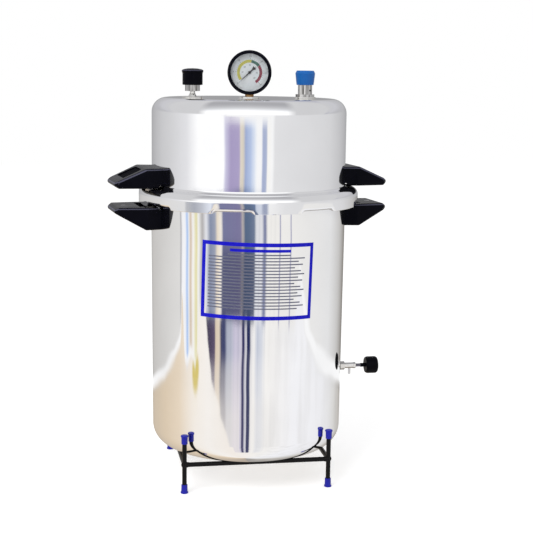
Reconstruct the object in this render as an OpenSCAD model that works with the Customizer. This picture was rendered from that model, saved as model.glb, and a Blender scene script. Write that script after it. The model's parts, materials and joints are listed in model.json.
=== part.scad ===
// Portable pressure-type autoclave: a polished aluminium vessel with a deep bayonet lid,
// a dial gauge, a dead-weight vent and a spring safety valve on top, a drain cock on the
// side, and a loose rod stand. Millimetres, +Z up, origin on the floor below the vessel's
// axis, handles along X, front towards -Y.

/* [Vessel] */
// Outer radius of the vessel at its rim
vessel_r = 150; // [130:1:170]
// Height of the vessel from its base to the top of its rim
vessel_h = 398; // [320:1:460]
// How much smaller the radius is at the base, the draft of the drawn shell
vessel_draft = 2.5; // [0:0.5:5]
// Wall thickness of the vessel
vessel_wall = 3; // [2:0.5:5]
// Thickness of the vessel's base
base_t = 4; // [3:0.5:8]
// Outer radius of the rounded edge at the base
base_edge_r = 30; // [15:1:45]
// Thickness of the rim flange
rim_t = 4; // [3:0.5:6]

/* [Bayonet] */
// Number of lugs on the rim and on the lid
lug_count = 8; // [4:1:8]
// Angle that one lid lug spans
lid_lug_angle = 22; // [14:1:24]
// Angle that one rim lug spans
rim_lug_angle = 20; // [14:1:22]
// Height of a lid lug above the skirt's lower edge
lug_h = 13.5; // [9:0.5:15]
// How far a lid lug's lower edge is drawn up
lug_raise = 3; // [0:0.5:4]
// How far a lid lug is pressed inwards
lug_press = 5.5; // [4:0.25:7]
// How far a rim lug reaches over a lid lug
lug_bite = 4; // [2.5:0.25:4.5]

/* [Lid] */
// How far the lid's wall is set in from the vessel's wall
lid_set_in = 1; // [0:0.5:20]
// Height of the lid from its flange to its top
lid_h = 134; // [80:1:180]
// Sheet thickness of the lid
lid_wall = 2.5; // [2:0.5:4]
// Outer radius of the lid's rounded top edge
lid_edge_r = 22; // [12:1:35]
// Width of the skirt's outside beyond the vessel's wall
skirt_out = 19; // [18:0.5:24]
// Height of the skirt from its lower edge to the flange's top
skirt_h = 26; // [24:0.5:32]
// Outer radius of the rounded shoulder between flange and skirt
shoulder_r = 10; // [8:0.5:11]
// Radius of the fillet where the wall meets the flange
neck_r = 4; // [2:0.5:6]
// Height of the sealing ring
gasket_h = 4; // [3:0.5:6]
// Width of the sealing ring
gasket_w = 6.5; // [4:0.5:7]

/* [Handles] */
// Distance of a handle's tip from the vessel's wall
handle_len = 65; // [50:1:85]
// Width of a handle at the wall
handle_root_w = 93; // [70:1:110]
// Width of a handle at its tip
handle_tip_w = 80; // [60:1:100]
// Height of a vessel handle at the wall
handle_h = 34; // [24:0.5:38]
// Height of a lid handle at the wall
lid_handle_h = 29.5; // [24:0.5:38]
// Height of a handle at the end of its slope
handle_tip_h = 12; // [9:0.5:16]
// Length of the level stretch next to the wall
handle_level = 18; // [12:1:26]
// Radius of a handle's moulded edges
handle_edge_r = 4; // [1:0.25:4.5]
// Width of the metal strap that carries a handle
strap_w = 24; // [16:1:34]
// Thickness of the strap
strap_t = 4; // [3:0.5:5]
// Diameter of the handle screws
handle_screw_d = 5; // [4:0.5:6]

/* [Gauge] */
// Outer diameter of the gauge's bezel
gauge_d = 67; // [60:1:80]
// Depth of the gauge's case
gauge_depth = 25; // [20:1:32]
// Height of the dial's centre above the lid
gauge_rise = 38.5; // [36:0.5:50]
// Turn of the gauge about its stem, away from the front
gauge_turn = -16; // [-45:1:45]
// Diameter of the gauge's threaded stem
gauge_stem_d = 13.2; // [10:0.1:16]
// Travel of the pointer over the scale
pointer_sweep = 270; // [240:1:280]
// Angle of the pointer at zero, from straight up, anticlockwise
pointer_zero = 133; // [125:1:140]

/* [Valves] */
// Distance of each valve from the lid's axis
valve_r = 89; // [70:1:105]
// Outer diameter of the vent pipe
vent_pipe_d = 8; // [6:0.5:10]
// Height of the vent pipe above its base washer
vent_pipe_h = 24; // [20:1:30]
// Diameter of the washer under each valve
valve_washer_d = 33; // [26:1:38]
// Thickness of the washer under each valve
valve_washer_t = 2; // [1.5:0.5:3]
// Width across the flats of the vent weight's hexagon
weight_af = 20; // [17:0.5:24]
// Diameter of the vent weight's cap
weight_cap_d = 30.5; // [27:0.5:36]
// Height of the vent weight's cap
weight_cap_h = 25; // [20:1:32]
// Width across the flats of the safety valve's hexagon
safety_af = 20.5; // [19:0.5:24]
// Height of the safety valve's hexagon
safety_hex_h = 14; // [13:0.5:20]
// Largest diameter of the safety valve's cap
safety_cap_d = 30.5; // [26:0.5:34]
// Height of the safety valve's cap
safety_cap_h = 22; // [18:0.5:28]
// Wire diameter of the safety valve's spring
spring_wire_d = 1.2; // [0.8:0.1:1.4]
// Number of turns of the safety valve's spring
spring_turns = 4; // [3:0.5:5]

/* [Drain cock] */
// Height of the drain cock's axis above the vessel's base
drain_h = 114.5; // [80:0.5:200]
// Angle of the drain cock, from the front towards the right
drain_angle = 84; // [20:1:90]
// Diameter of the rubber washer against the wall
drain_washer_d = 18; // [16:0.5:24]
// Diameter of the cock's barrel
drain_barrel_d = 9; // [8:0.5:12]
// Outer diameter of the spout
spout_d = 4.4; // [4:0.1:6]
// Length of the spout below the barrel
spout_len = 9.5; // [6:0.5:16]
// Diameter of the spindle
spindle_d = 5; // [4.4:0.1:6]
// Diameter of the knob
knob_d = 27; // [20:0.5:34]
// Length of the knob
knob_len = 19.5; // [12:0.5:24]

/* [Stand] */
// Diameter of the stand's rods
rod_d = 7; // [6:0.5:10]
// Height of a leg with its caps
leg_h = 90; // [75:1:120]
// Height of the rails' centre line
rail_h = 44; // [34:1:60]
// Gap between a leg's centre line and the vessel's wall at the rim
leg_gap = 6; // [5:0.5:12]
// Turn of the stand under the vessel
stand_turn = -6; // [-45:1:45]
// Height of an end cap
cap_h = 13.5; // [9:0.5:18]
// Diameter of an end cap at its closed end
cap_d = 11.5; // [10.5:0.5:16]

/* [Load rack] */
// Gap between the perforated plate and the vessel's wall at the base
rack_gap = 13.5; // [8:0.5:40]
// Thickness of the perforated plate
rack_t = 2; // [1.5:0.5:3]
// Height of the plate's underside above the vessel's floor
rack_rise = 25; // [15:1:40]
// Diameter of the perforations
rack_hole_d = 14; // [8:1:18]

/* [Hidden] */
$fn = 64;
// Gap between pieces that move past each other
run_gap = 0.3;
// Gap between pieces of one assembly that fit round each other
fit_gap = 0.05;
// Radial clearance of a shaft in its bearing
bearing_gap = 0.05;
// Length by which a cut runs past the face it opens
cut = 1;

// Levels of the vessel and lid
vessel_z = rail_h + rod_d / 2 + run_gap;
rim_z = vessel_z + vessel_h;
rim_under_z = rim_z - rim_t;
base_r = vessel_r - vessel_draft;
lid_r = vessel_r - lid_set_in;
edge_z = vessel_z + base_edge_r;
chamber_z = vessel_z + base_t;
flange_under_z = rim_z + run_gap + gasket_h + run_gap;
flange_z = flange_under_z + lid_wall;
skirt_z = flange_z - skirt_h;
lid_top_z = flange_z + lid_h;
lid_under_z = lid_top_z - lid_wall;
skirt_r = vessel_r + skirt_out;
lug_r = skirt_r - lug_press - lid_wall;
lug_open_angle = 2 * asin(sin(lid_lug_angle / 2) - lid_wall / skirt_r);
rim_ring_r = lug_r - 2 * run_gap;
rim_lug_r = lug_r + lug_bite;
gasket_r = lid_r + neck_r + gasket_w / 2 - run_gap;
function wall_r(z) = base_r + vessel_draft * (z - edge_z) / (rim_under_z - edge_z);

// Handles
handle_gap = 1;
lid_handle_z = flange_z + handle_gap;
body_wall_r = wall_r(skirt_z - handle_gap);
body_handle_z = skirt_z - handle_gap;
handle_nose_h = handle_tip_h / 2;
handle_nose_back = 3.5;
handle_nose_in = 4;
handle_tip_r = lid_r + handle_len;
handle_break_r = lid_r + handle_level;
handle_slope_end = handle_tip_r - handle_nose_back - handle_edge_r;
function handle_slope(h) = atan((h - handle_tip_h) / (handle_slope_end - handle_break_r));
// The root is drawn in at its sides over this run, and starts inside the wall
handle_root_in = 9.5;
handle_root_run = 27;
handle_root_r = lid_r - 11;
strap_low = 5.5;
strap_end_r = handle_tip_r - 11;
handle_screw_r = strap_end_r - strap_w / 3;
screw_head_d = 1.8 * handle_screw_d;
screw_head_h = 0.6 * handle_screw_d;
screw_slot_w = 1;
pocket_r = handle_break_r + 8;
pocket_w = 2.4 * strap_w;
pocket_h = strap_low + strap_t + 5;
panel_depth = 1.5;
panel_corner_r = 9;
panel_top_gap = 5;
panel_end_gap = 11;
panel_side_gap = 11;

// Gauge, in its own frame: x to the right, y up, z towards the reader
gauge_z = lid_top_z + gauge_rise;
bezel_r = gauge_d / 2;
case_wall = 1.6;
case_r = bezel_r - 2;
case_in_r = case_r - case_wall;
case_front = 10;
case_back = case_front - gauge_depth;
lens_t = 2;
bezel_lip = 1.9;
bezel_edge_r = 1.5;
bezel_sleeve = 3;
bezel_sight_r = case_in_r - 1.5;
dial_t = 0.8;
dial_front = 5;
neck_hole_r = 4;
block_w = 14;
block_top = -20;
block_low = 1 - case_in_r;
block_front = dial_front - dial_t - run_gap;
plate_t = 1;
plate_w = 6;
plate_top = 6;
pillar_y = 4.2;
pillar_r = 1.4;
pinion_teeth = 10;
gear_ratio = 7;
gear_module = 0.4;
pinion_pitch_r = pinion_teeth * gear_module / 2;
sector_pitch_r = pinion_pitch_r * gear_ratio;
sector_y = -(pinion_pitch_r + sector_pitch_r);
sector_sweep = pointer_sweep / gear_ratio;
// Depth of a tooth below the pitch circle and height above it, in modules
gear_root = 1.2;
gear_tip = 0.8;
// Half widths of a tooth at its foot, at the pitch circle and at its tip, in pitches
tooth_foot_w = 0.27;
tooth_mid_w = 0.2;
tooth_tip_w = 0.1;
gear_low = -3.4;
gear_t = 2;
sector_rim = 2.5;
sector_hub_r = 4;
sector_arm_w = 3;
frame_back = gear_low - run_gap - plate_t;
frame_front = gear_low + gear_t + run_gap;
arbor_r = 0.8;
dial_hole_r = 1.4;
tail_r = 7;
tail_w = 2;
tail_angle = 150;
tube_ring_r = 23;
tube_r = 2;
tube_z = -9;
block_back = tube_z - tube_r - 0.5;
tube_tip_angle = 205;
tip_cap_r = tube_r + 0.6;
tip_cap_len = 3;
link_t = 1;
link_w = 1.8;
// Room in the link's eye for the tail pin, which moves on an arc of its own
link_play = 0.9;
link_back = gear_low - run_gap - link_t;
link_front = link_back + link_t;
// Where the link's stud stands on the tube's tip, and the sector's tail pin at rest
link_stud = tube_ring_r * [cos(tube_tip_angle), sin(tube_tip_angle)]
    + tip_cap_len / 2 * [-sin(tube_tip_angle), cos(tube_tip_angle)];
tail_pin = [tail_r * cos(tail_angle), sector_y + tail_r * sin(tail_angle)];
pointer_low = dial_front + 1;
pointer_t = 0.8;
pointer_w = 2;
pointer_hub_r = 2.2;
// Reach of the needle and of its counterweight, as shares of the dial's visible radius
pointer_reach = 0.65;
pointer_tail = 0.38;

// Valves
vent_shank_r = vent_pipe_d / 2 + 1;
vent_bore_r = vent_pipe_d / 6;
vent_foot = 2.5;
weight_z = lid_top_z + valve_washer_t + 8;
weight_hex_h = 9;
weight_roof = 5;
weight_cap_z = weight_z + weight_hex_h;
vent_tip_z = lid_top_z + valve_washer_t + vent_pipe_h;
// The weight's bore, from its lower face to the roof that rests on the pipe
weight_bore_h = vent_tip_z - weight_z + run_gap;
weight_lip = 1.2;
weight_lip_h = 6;
weight_crown = 1.5;
cap_bevel = 0.8;
shank_len = 14;
nut_t = 6;
nut_rim = 8.8;
safety_flange_h = 4;
safety_flange_d = valve_washer_d - 4;
safety_hex_turn = 20;
safety_z = lid_top_z + valve_washer_t;
safety_hex_z = safety_z + safety_flange_h;
safety_port_z = safety_hex_z + 6;
safety_port_r = 1.5;
safety_top_z = safety_hex_z + safety_hex_h;
safety_shank_d = 16;
safety_bore_r = 7.4;
safety_seat_r = 3.5;
safety_spindle_r = 2.6;
safety_floor_z = safety_z + 2.5;
safety_disc_r = 6.4;
safety_disc_t = 2;
bonnet_t = 3.5;
safety_cap_taper = 2;
safety_cap_crown = 3.5;
spring_low_z = safety_floor_z + run_gap + safety_disc_t;
spring_high_z = safety_top_z - bonnet_t;
spring_mean_r = (safety_spindle_r + safety_bore_r) / 2;

// Drain cock, in its own frame: x outwards along its axis
drain_z = vessel_z + drain_h;
drain_wall_r = wall_r(drain_z);
drain_washer_t = 3;
drain_collar_t = 7.5;
drain_barrel_len = 14.4;
drain_gland_t = 4;
drain_gland_plug = 3;
drain_shank_d = 10;
drain_collar_af = drain_shank_d + 2;
spout_wall = 0.8;
// The spout leaves the barrel by a slimmer neck
spout_neck_d = spout_d - 0.6;
spout_neck_len = 1.3;
spindle_show = 16.2;
knob_edge = 3;
knob_crown = 0.6;
knob_neck_d = spindle_d + 1.2;
knob_neck_len = 8;
drain_bore_r = 2;
drain_chamber_r = drain_barrel_d / 2 - 1.2;
drain_x1 = drain_wall_r + drain_washer_t;
drain_x2 = drain_x1 + drain_collar_t;
drain_x3 = drain_x2 + drain_barrel_len;
drain_x4 = drain_x3 + drain_gland_t;
drain_nut_af = drain_shank_d + 7;
drain_inside_r = drain_wall_r - vessel_wall;
// A flat nut touches the curved wall at its corners
drain_nut_x = sqrt(pow(drain_inside_r, 2) - pow(drain_nut_af / sqrt(3), 2)) - run_gap / 2;
drain_seat_x = drain_x2 + 2;
drain_seat_t = 2;
spout_x = drain_x2 + 0.6 * drain_barrel_len;
knob_x = drain_x4 + spindle_show;

// Stand
leg_r = vessel_r + leg_gap;
cap_end = 2;
cap_mouth_d = rod_d + 2.4;
cap_lip_h = 3;
cap_edge = 0.6;
weld_r = 1.5;
weld_len = 4;

// Shared shapes

// A straight round piece with a hole through it
module tube(r, hole_r, h) {
    difference() {
        cylinder(r = r, h = h);
        translate([0, 0, -cut]) cylinder(r = hole_r, h = h + 2 * cut);
    }
}

// A hexagonal prism given by its width across the flats
module hexagon(af, h) {
    cylinder(d = af / cos(30), h = h, $fn = 6);
}

// A hexagonal nut that hangs below the level z = 0
module hanging_nut(af, hole_r, h) {
    translate([0, 0, -h]) difference() {
        hexagon(af, h);
        translate([0, 0, -cut]) cylinder(r = hole_r, h = h + 2 * cut);
    }
}

// Part of a ring, centred on the X axis
module ring_part(r_in, r_out, z, h, angle) {
    rotate([0, 0, -angle / 2]) rotate_extrude(angle = angle)
        translate([r_in, z]) square([r_out - r_in, h]);
}

// Children repeated at each lug's place, midway between the handles' sides
module at_lugs() {
    for (i = [0 : lug_count - 1]) rotate([0, 0, (i + 0.5) * 360 / lug_count]) children();
}

// Children turned to face outwards along the drain cock's axis
module at_drain() {
    rotate([0, 0, drain_angle - 90]) translate([0, 0, drain_z]) rotate([0, 90, 0]) children();
}

// Children set in the gauge's own frame
module at_gauge() {
    translate([0, 0, gauge_z]) rotate([0, 0, gauge_turn]) rotate([90, 0, 0]) children();
}

// Stand

function leg_angle(i) = stand_turn - 135 + 90 * i;

module at_leg(i) {
    rotate([0, 0, leg_angle(i)]) translate([leg_r, 0, 0]) children();
}

module leg(i) {
    color("black") at_leg(i) translate([0, 0, cap_end]) cylinder(d = rod_d, h = leg_h - 2 * cap_end);
}

// The quarter of the plan between two neighbouring legs, kept just clear of the next quarter
module quarter(i) {
    reach = 2 * leg_r;
    rotate([0, 0, leg_angle(i)]) translate([fit_gap, fit_gap]) linear_extrude(leg_h)
        square([reach, reach]);
}

// A rail between two neighbouring legs, with the weld's fillet at each end
module rail(i) {
    span = leg_r * sqrt(2);
    color("black") difference() {
        intersection() {
            rotate([0, 0, leg_angle(i) + 45]) translate([leg_r / sqrt(2), 0, rail_h]) rotate([90, 0, 0]) {
                translate([0, 0, -span / 2]) cylinder(d = rod_d, h = span);
                for (side = [0, 1]) mirror([0, 0, side]) translate([0, 0, span / 2 - rod_d / 2 - weld_len])
                    cylinder(r1 = rod_d / 2, r2 = rod_d / 2 + weld_r, h = weld_len + rod_d / 2);
            }
            quarter(i);
        }
        for (k = [i, i + 1]) at_leg(k) cylinder(r = rod_d / 2 + fit_gap, h = leg_h);
    }
}

// A pushed-on plastic cap, closed end down, with a flared lip
module end_cap() {
    color("mediumblue") difference() {
        rotate_extrude() polygon([[0, 0], [cap_d / 2 - cap_edge, 0], [cap_d / 2, cap_edge],
            [cap_d / 2, cap_lip_h - cap_edge], [cap_d / 2 - 1.5 * cap_edge, cap_lip_h],
            [cap_mouth_d / 2, cap_h], [0, cap_h]]);
        translate([0, 0, cap_end]) cylinder(d = rod_d + 2 * fit_gap, h = cap_h);
    }
}

module leg_foot_caps() {
    for (i = [0 : 3]) at_leg(i) end_cap();
}

module leg_top_caps() {
    for (i = [0 : 3]) at_leg(i) translate([0, 0, leg_h]) mirror([0, 0, 1]) end_cap();
}

// Vessel

// Half profile of the drawn shell below its rim, set in by a wall and a base
module shell_profile(wall, bottom, top) {
    edge_r = base_edge_r - max(wall, bottom);
    turn_x = base_r - wall - edge_r;
    turn_z = vessel_z + bottom + edge_r;
    translate([0, vessel_z + bottom]) square([turn_x, edge_r]);
    translate([turn_x, turn_z]) circle(r = edge_r, $fn = 96);
    polygon([[0, turn_z], [base_r - wall, turn_z], [vessel_r - wall, rim_under_z], [vessel_r - wall, top],
        [0, top]]);
}

module vessel() {
    color("silver") difference() {
        union() {
            rotate_extrude($fn = 128) shell_profile(0, 0, rim_under_z + cut);
            translate([0, 0, rim_under_z]) cylinder(r = rim_ring_r, h = rim_t, $fn = 128);
            at_lugs() ring_part(vessel_r, rim_lug_r, rim_under_z, rim_t, rim_lug_angle);
        }
        rotate_extrude($fn = 128) shell_profile(vessel_wall, base_t, rim_z + cut);
        at_drain() translate([0, 0, drain_wall_r - 4 * vessel_wall])
            cylinder(d = drain_shank_d + 2 * fit_gap, h = 8 * vessel_wall);
    }
}

module gasket() {
    color("gainsboro") translate([0, 0, rim_z + run_gap])
        tube(gasket_r + gasket_w / 2, gasket_r - gasket_w / 2, gasket_h);
}

// Handles, drawn with the flat face at z = 0 and the wall's axis at the origin

// The moulded wedge: balls at its corners carry the rounded edges
module handle_wedge(h) {
    ball = handle_edge_r;
    wide_r = handle_root_r + handle_root_run;
    function half_w(x) = handle_root_w / 2 - ball
        - (handle_root_w - handle_tip_w) / 2 * (x - vessel_r) / (handle_tip_r - vessel_r);
    // Each corner: distance from the axis, height, and how far it is drawn in at the sides
    outline = [[handle_root_r, ball, handle_root_in], [wide_r, ball, 0], [handle_slope_end, ball, 0],
        [handle_tip_r - ball, handle_nose_h, handle_nose_in], [handle_slope_end, handle_tip_h - ball, 0],
        [handle_break_r, h - ball, 0], [wide_r, h - ball, 0], [handle_root_r, h - ball, handle_root_in]];
    hull() for (p = outline, side = [-1, 1])
        translate([p[0], side * (half_w(p[0]) - p[2]), p[1]]) sphere(r = ball, $fn = 16);
}

// The shallow panel sunk into the sloping face
module handle_panel(h) {
    len = handle_tip_r - handle_break_r - panel_top_gap - panel_end_gap;
    w = handle_tip_w - 2 * panel_side_gap;
    corner = panel_corner_r;
    translate([handle_break_r, 0, h]) rotate([0, handle_slope(h), 0])
        translate([panel_top_gap, 0, -panel_depth]) linear_extrude(4 * panel_depth) {
            translate([corner, -w / 2]) square([len - corner, w]);
            translate([0, -w / 2 + corner]) square([len, w - 2 * corner]);
            for (side = [-1, 1]) translate([corner, side * (w / 2 - corner)]) circle(r = corner);
        }
}

module handle(wall, h) {
    color([0.05, 0.05, 0.06]) difference() {
        handle_wedge(h);
        translate([0, 0, -cut]) cylinder(r = wall + fit_gap, h = h + 2 * cut, $fn = 128);
        translate([0, 0, -cut]) cylinder(r = wall + neck_r + fit_gap, h = cut + neck_r, $fn = 128);
        handle_panel(h);
        // Hollow at the root, open below
        translate([0, -pocket_w / 2, -cut]) cube([pocket_r, pocket_w, pocket_h + cut]);
        // Slot for the strap and the hole for its screw
        translate([0, -strap_w / 2 - fit_gap, strap_low - fit_gap])
            cube([strap_end_r + fit_gap, strap_w + 2 * fit_gap, strap_t + 2 * fit_gap]);
        translate([handle_screw_r, 0, -cut]) {
            cylinder(d = handle_screw_d + 2 * fit_gap, h = strap_low + 2 * cut);
            cylinder(d = screw_head_d + 2 * fit_gap, h = screw_head_h + cut);
        }
    }
}

// The strap welded to the wall
module handle_strap(wall) {
    color("silver") difference() {
        translate([handle_root_r, -strap_w / 2, strap_low])
            cube([strap_end_r - handle_root_r, strap_w, strap_t]);
        translate([0, 0, -cut]) cylinder(r = wall + fit_gap, h = handle_h, $fn = 128);
        translate([handle_screw_r, 0, 0]) cylinder(d = handle_screw_d + 2 * fit_gap, h = handle_h);
    }
}

module handle_screw() {
    color("lightgray") translate([handle_screw_r, 0, 0]) difference() {
        union() {
            cylinder(d = screw_head_d, h = screw_head_h);
            cylinder(d = handle_screw_d, h = strap_low + strap_t);
        }
        translate([-screw_head_d, -screw_slot_w / 2, -cut])
            cube([2 * screw_head_d, screw_slot_w, cut + screw_head_h / 2]);
    }
}

// One of the two sides, 0 for left and 1 for right, flat face down on the lid and up on the vessel
module on_lid(side) {
    translate([0, 0, lid_handle_z]) rotate([0, 0, 180 * (1 - side)]) children();
}

module on_body(side) {
    translate([0, 0, body_handle_z]) rotate([0, 0, 180 * (1 - side)]) mirror([0, 0, 1]) children();
}

// Drain cock

module drain_washer() {
    color([0.06, 0.06, 0.06]) difference() {
        at_drain() translate([0, 0, drain_wall_r - 3 * vessel_wall])
            tube(drain_washer_d / 2, drain_shank_d / 2 + fit_gap, drain_washer_t + 3 * vessel_wall);
        rotate_extrude($fn = 128) shell_profile(-fit_gap, 0, rim_under_z);
    }
}

// Barrel with its collar, wall shank and downward spout
module drain_body() {
    color("gainsboro") at_drain() difference() {
        union() {
            translate([0, 0, drain_wall_r - shank_len])
                cylinder(d = drain_shank_d, h = shank_len + drain_washer_t);
            translate([0, 0, drain_x1]) hexagon(drain_collar_af, drain_collar_t);
            translate([0, 0, drain_x2]) cylinder(d = drain_barrel_d, h = drain_barrel_len);
            translate([0, 0, spout_x]) rotate([0, 90, 0]) {
                cylinder(d = spout_neck_d, h = drain_barrel_d / 2 + spout_neck_len);
                translate([0, 0, drain_barrel_d / 2 + spout_neck_len])
                    cylinder(d = spout_d, h = spout_len - spout_neck_len);
            }
        }
        translate([0, 0, drain_wall_r - shank_len - cut]) cylinder(r = drain_bore_r, h = drain_x3);
        translate([0, 0, drain_seat_x]) cylinder(r = drain_chamber_r, h = drain_x3 - drain_seat_x + cut);
        translate([0, 0, spout_x]) rotate([0, 90, 0])
            cylinder(d = spout_d - 2 * spout_wall, h = drain_barrel_d / 2 + spout_len + cut);
    }
}

module drain_inner_nut() {
    color("gainsboro") at_drain() translate([0, 0, drain_nut_x])
        hanging_nut(drain_nut_af, drain_shank_d / 2 + fit_gap, nut_t);
}

// The packing nut that the spindle turns in
module drain_gland() {
    color("gainsboro") at_drain() translate([0, 0, drain_x3]) difference() {
        union() {
            hexagon(drain_barrel_d, drain_gland_t);
            translate([0, 0, -drain_gland_plug])
                cylinder(r = drain_chamber_r - fit_gap, h = drain_gland_plug);
        }
        translate([0, 0, -drain_gland_plug - cut])
            cylinder(r = spindle_d / 2 + bearing_gap, h = drain_gland_t + drain_gland_plug + 2 * cut);
    }
}

// The disc that closes the bore; it slides without turning
module drain_seat() {
    color("dimgray") at_drain() translate([0, 0, drain_seat_x + run_gap])
        cylinder(r = drain_chamber_r - run_gap, h = drain_seat_t);
}

module drain_spindle() {
    color("dimgray") at_drain() translate([0, 0, drain_seat_x + drain_seat_t + 2 * run_gap])
        cylinder(d = spindle_d, h = knob_x - drain_seat_x - drain_seat_t - 2 * run_gap + knob_len / 2);
}

// Knob with the neck that it was moulded on to the spindle with
module drain_knob() {
    r = knob_d / 2;
    neck = knob_neck_len;
    edge = knob_edge;
    color([0.05, 0.05, 0.06]) at_drain() translate([0, 0, knob_x]) difference() {
        rotate_extrude() polygon([[0, -neck], [knob_neck_d / 2, -neck], [knob_neck_d / 2, 0],
            [r - edge / 2, 0], [r, edge], [r, knob_len - edge],
            [r - edge / 2, knob_len - knob_crown], [r - edge, knob_len], [0, knob_len]]);
        translate([0, 0, -neck - cut])
            cylinder(r = spindle_d / 2 + fit_gap, h = neck + knob_len / 2 + cut);
    }
}

// Load rack

rack_r = base_r - vessel_wall - rack_gap;
rack_z = chamber_z + run_gap + rack_rise;
rack_foot_r = 0.75 * rack_r;
rack_foot_d = 10;
rack_foot_turn = 15;
// Each ring of holes: their number and its radius as a share of the plate's
rack_rings = [[6, 0.3], [12, 0.6], [18, 0.87]];

module rack_plate() {
    color("gainsboro") translate([0, 0, rack_z]) difference() {
        cylinder(r = rack_r, h = rack_t, $fn = 128);
        translate([0, 0, -cut]) cylinder(d = rack_hole_d, h = rack_t + 2 * cut);
        for (ring = rack_rings, i = [0 : ring[0] - 1]) rotate([0, 0, i * 360 / ring[0]])
            translate([ring[1] * rack_r, 0, -cut]) cylinder(d = rack_hole_d, h = rack_t + 2 * cut);
    }
}

module rack_feet() {
    color("gainsboro") for (i = [0 : 2]) rotate([0, 0, 120 * i + rack_foot_turn])
        translate([rack_foot_r, 0, rack_z - rack_rise]) cylinder(d = rack_foot_d, h = rack_rise);
}

// Lid

// Half profile of the lid set in by a wall, from below the skirt's edge to the top
module lid_profile(wall, low) {
    top_edge_r = lid_edge_r - wall;
    shoulder = shoulder_r - wall;
    neck = neck_r + wall;
    top_x = lid_r - lid_edge_r;
    shoulder_x = skirt_r - shoulder_r;
    shoulder_z = flange_z - shoulder_r;
    top_edge_z = lid_top_z - lid_edge_r;
    translate([0, low]) square([lid_r - wall, top_edge_z - low]);
    translate([0, low]) square([top_x, lid_top_z - wall - low]);
    translate([top_x, top_edge_z]) circle(r = top_edge_r, $fn = 96);
    translate([0, low]) square([skirt_r - wall, shoulder_z - low]);
    translate([0, low]) square([shoulder_x, flange_z - wall - low]);
    translate([shoulder_x, shoulder_z]) circle(r = shoulder, $fn = 96);
    difference() {
        translate([0, flange_z - wall]) square([lid_r + neck_r, neck]);
        translate([lid_r + neck_r, flange_z + neck_r]) circle(r = neck, $fn = 96);
    }
}

// One pressed lug's hollow, seen from outside: an arch through the skirt's outer face
module lug_hollow() {
    w = 2 * skirt_r * sin(lid_lug_angle / 2) - 2 * lid_wall;
    h = lug_h - lid_wall;
    corner = 0.75 * h;
    intersection() {
        translate([0, 0, skirt_z - cut]) tube(skirt_r + cut, skirt_r - lug_press, lug_h + cut);
        translate([0, 0, skirt_z]) rotate([90, 0, 90]) linear_extrude(2 * skirt_r) {
            translate([-w / 2, -cut]) square([w, h - corner + cut]);
            translate([-w / 2 + corner, -cut]) square([w - 2 * corner, h + cut]);
            for (side = [-1, 1]) translate([side * (w / 2 - corner), h - corner]) circle(r = corner);
        }
    }
}

module lid() {
    color("silver") difference() {
        union() {
            difference() {
                rotate_extrude($fn = 128) lid_profile(0, skirt_z);
                rotate_extrude($fn = 128) lid_profile(lid_wall, skirt_z - cut);
            }
            at_lugs() ring_part(lug_r, skirt_r - lid_wall / 2, skirt_z, lug_h, lid_lug_angle);
        }
        at_lugs() lug_hollow();
        at_lugs() ring_part(lug_r - cut, skirt_r + cut, skirt_z - cut, lug_raise + cut, lug_open_angle);
        translate([0, 0, lid_under_z - cut]) {
            cylinder(d = gauge_stem_d + 2 * fit_gap, h = lid_wall + 2 * cut);
            translate([-valve_r, 0, 0]) cylinder(r = vent_shank_r + fit_gap, h = lid_wall + 2 * cut);
            translate([valve_r, 0, 0]) cylinder(d = safety_shank_d + 2 * fit_gap, h = lid_wall + 2 * cut);
        }
    }
}

// Vent with its dead weight

module at_vent(z) {
    translate([-valve_r, 0, z]) children();
}

module vent_washer() {
    color("gainsboro") at_vent(lid_top_z)
        tube(valve_washer_d / 2, vent_shank_r + fit_gap, valve_washer_t);
}

module vent_pipe() {
    r = vent_pipe_d / 2;
    base = lid_top_z + valve_washer_t;
    color("gainsboro") at_vent(0) difference() {
        union() {
            translate([0, 0, lid_under_z - shank_len])
                cylinder(r = vent_shank_r, h = base - lid_under_z + shank_len);
            translate([0, 0, base]) cylinder(r1 = r + vent_foot, r2 = r, h = 2 * vent_foot);
            translate([0, 0, base]) cylinder(r = r, h = vent_pipe_h - r / 2);
            translate([0, 0, vent_tip_z - r / 2]) cylinder(r1 = r, r2 = r / 2, h = r / 2);
        }
        translate([0, 0, lid_under_z - shank_len - cut]) cylinder(r = vent_bore_r, h = vent_tip_z);
    }
}

module vent_nut() {
    color("gainsboro") at_vent(lid_under_z)
        hanging_nut(2 * vent_shank_r + nut_rim, vent_shank_r + fit_gap, nut_t);
}

// The metal weight: it slides on the pipe and its roof rests on the pipe's tip
module weight_core() {
    color("gainsboro") at_vent(weight_z) difference() {
        union() {
            hexagon(weight_af, weight_hex_h);
            cylinder(d = weight_af, h = weight_bore_h + weight_roof);
        }
        translate([0, 0, -cut]) cylinder(r = vent_pipe_d / 2 + bearing_gap, h = weight_bore_h + cut);
    }
}

module weight_cap() {
    r = weight_cap_d / 2;
    h = weight_cap_h - weight_crown;
    color([0.05, 0.05, 0.06]) at_vent(weight_cap_z) difference() {
        rotate_extrude() polygon([[0, 0], [r - cap_bevel, 0], [r, cap_bevel], [r, h - weight_lip_h],
            [r + weight_lip, h - weight_lip_h / 2], [r + cap_bevel, h - weight_lip],
            [r - 2 * cap_bevel, h], [r / 2, h + 0.75 * weight_crown], [0, h + weight_crown]]);
        translate([0, 0, -cut])
            cylinder(d = weight_af + 2 * fit_gap, h = weight_bore_h + weight_roof - weight_hex_h + cut);
    }
}

// Safety valve

module at_safety(z) {
    translate([valve_r, 0, z]) children();
}

module safety_washer() {
    color("gainsboro") at_safety(lid_top_z)
        tube(valve_washer_d / 2, safety_shank_d / 2 + fit_gap, valve_washer_t);
}

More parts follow.
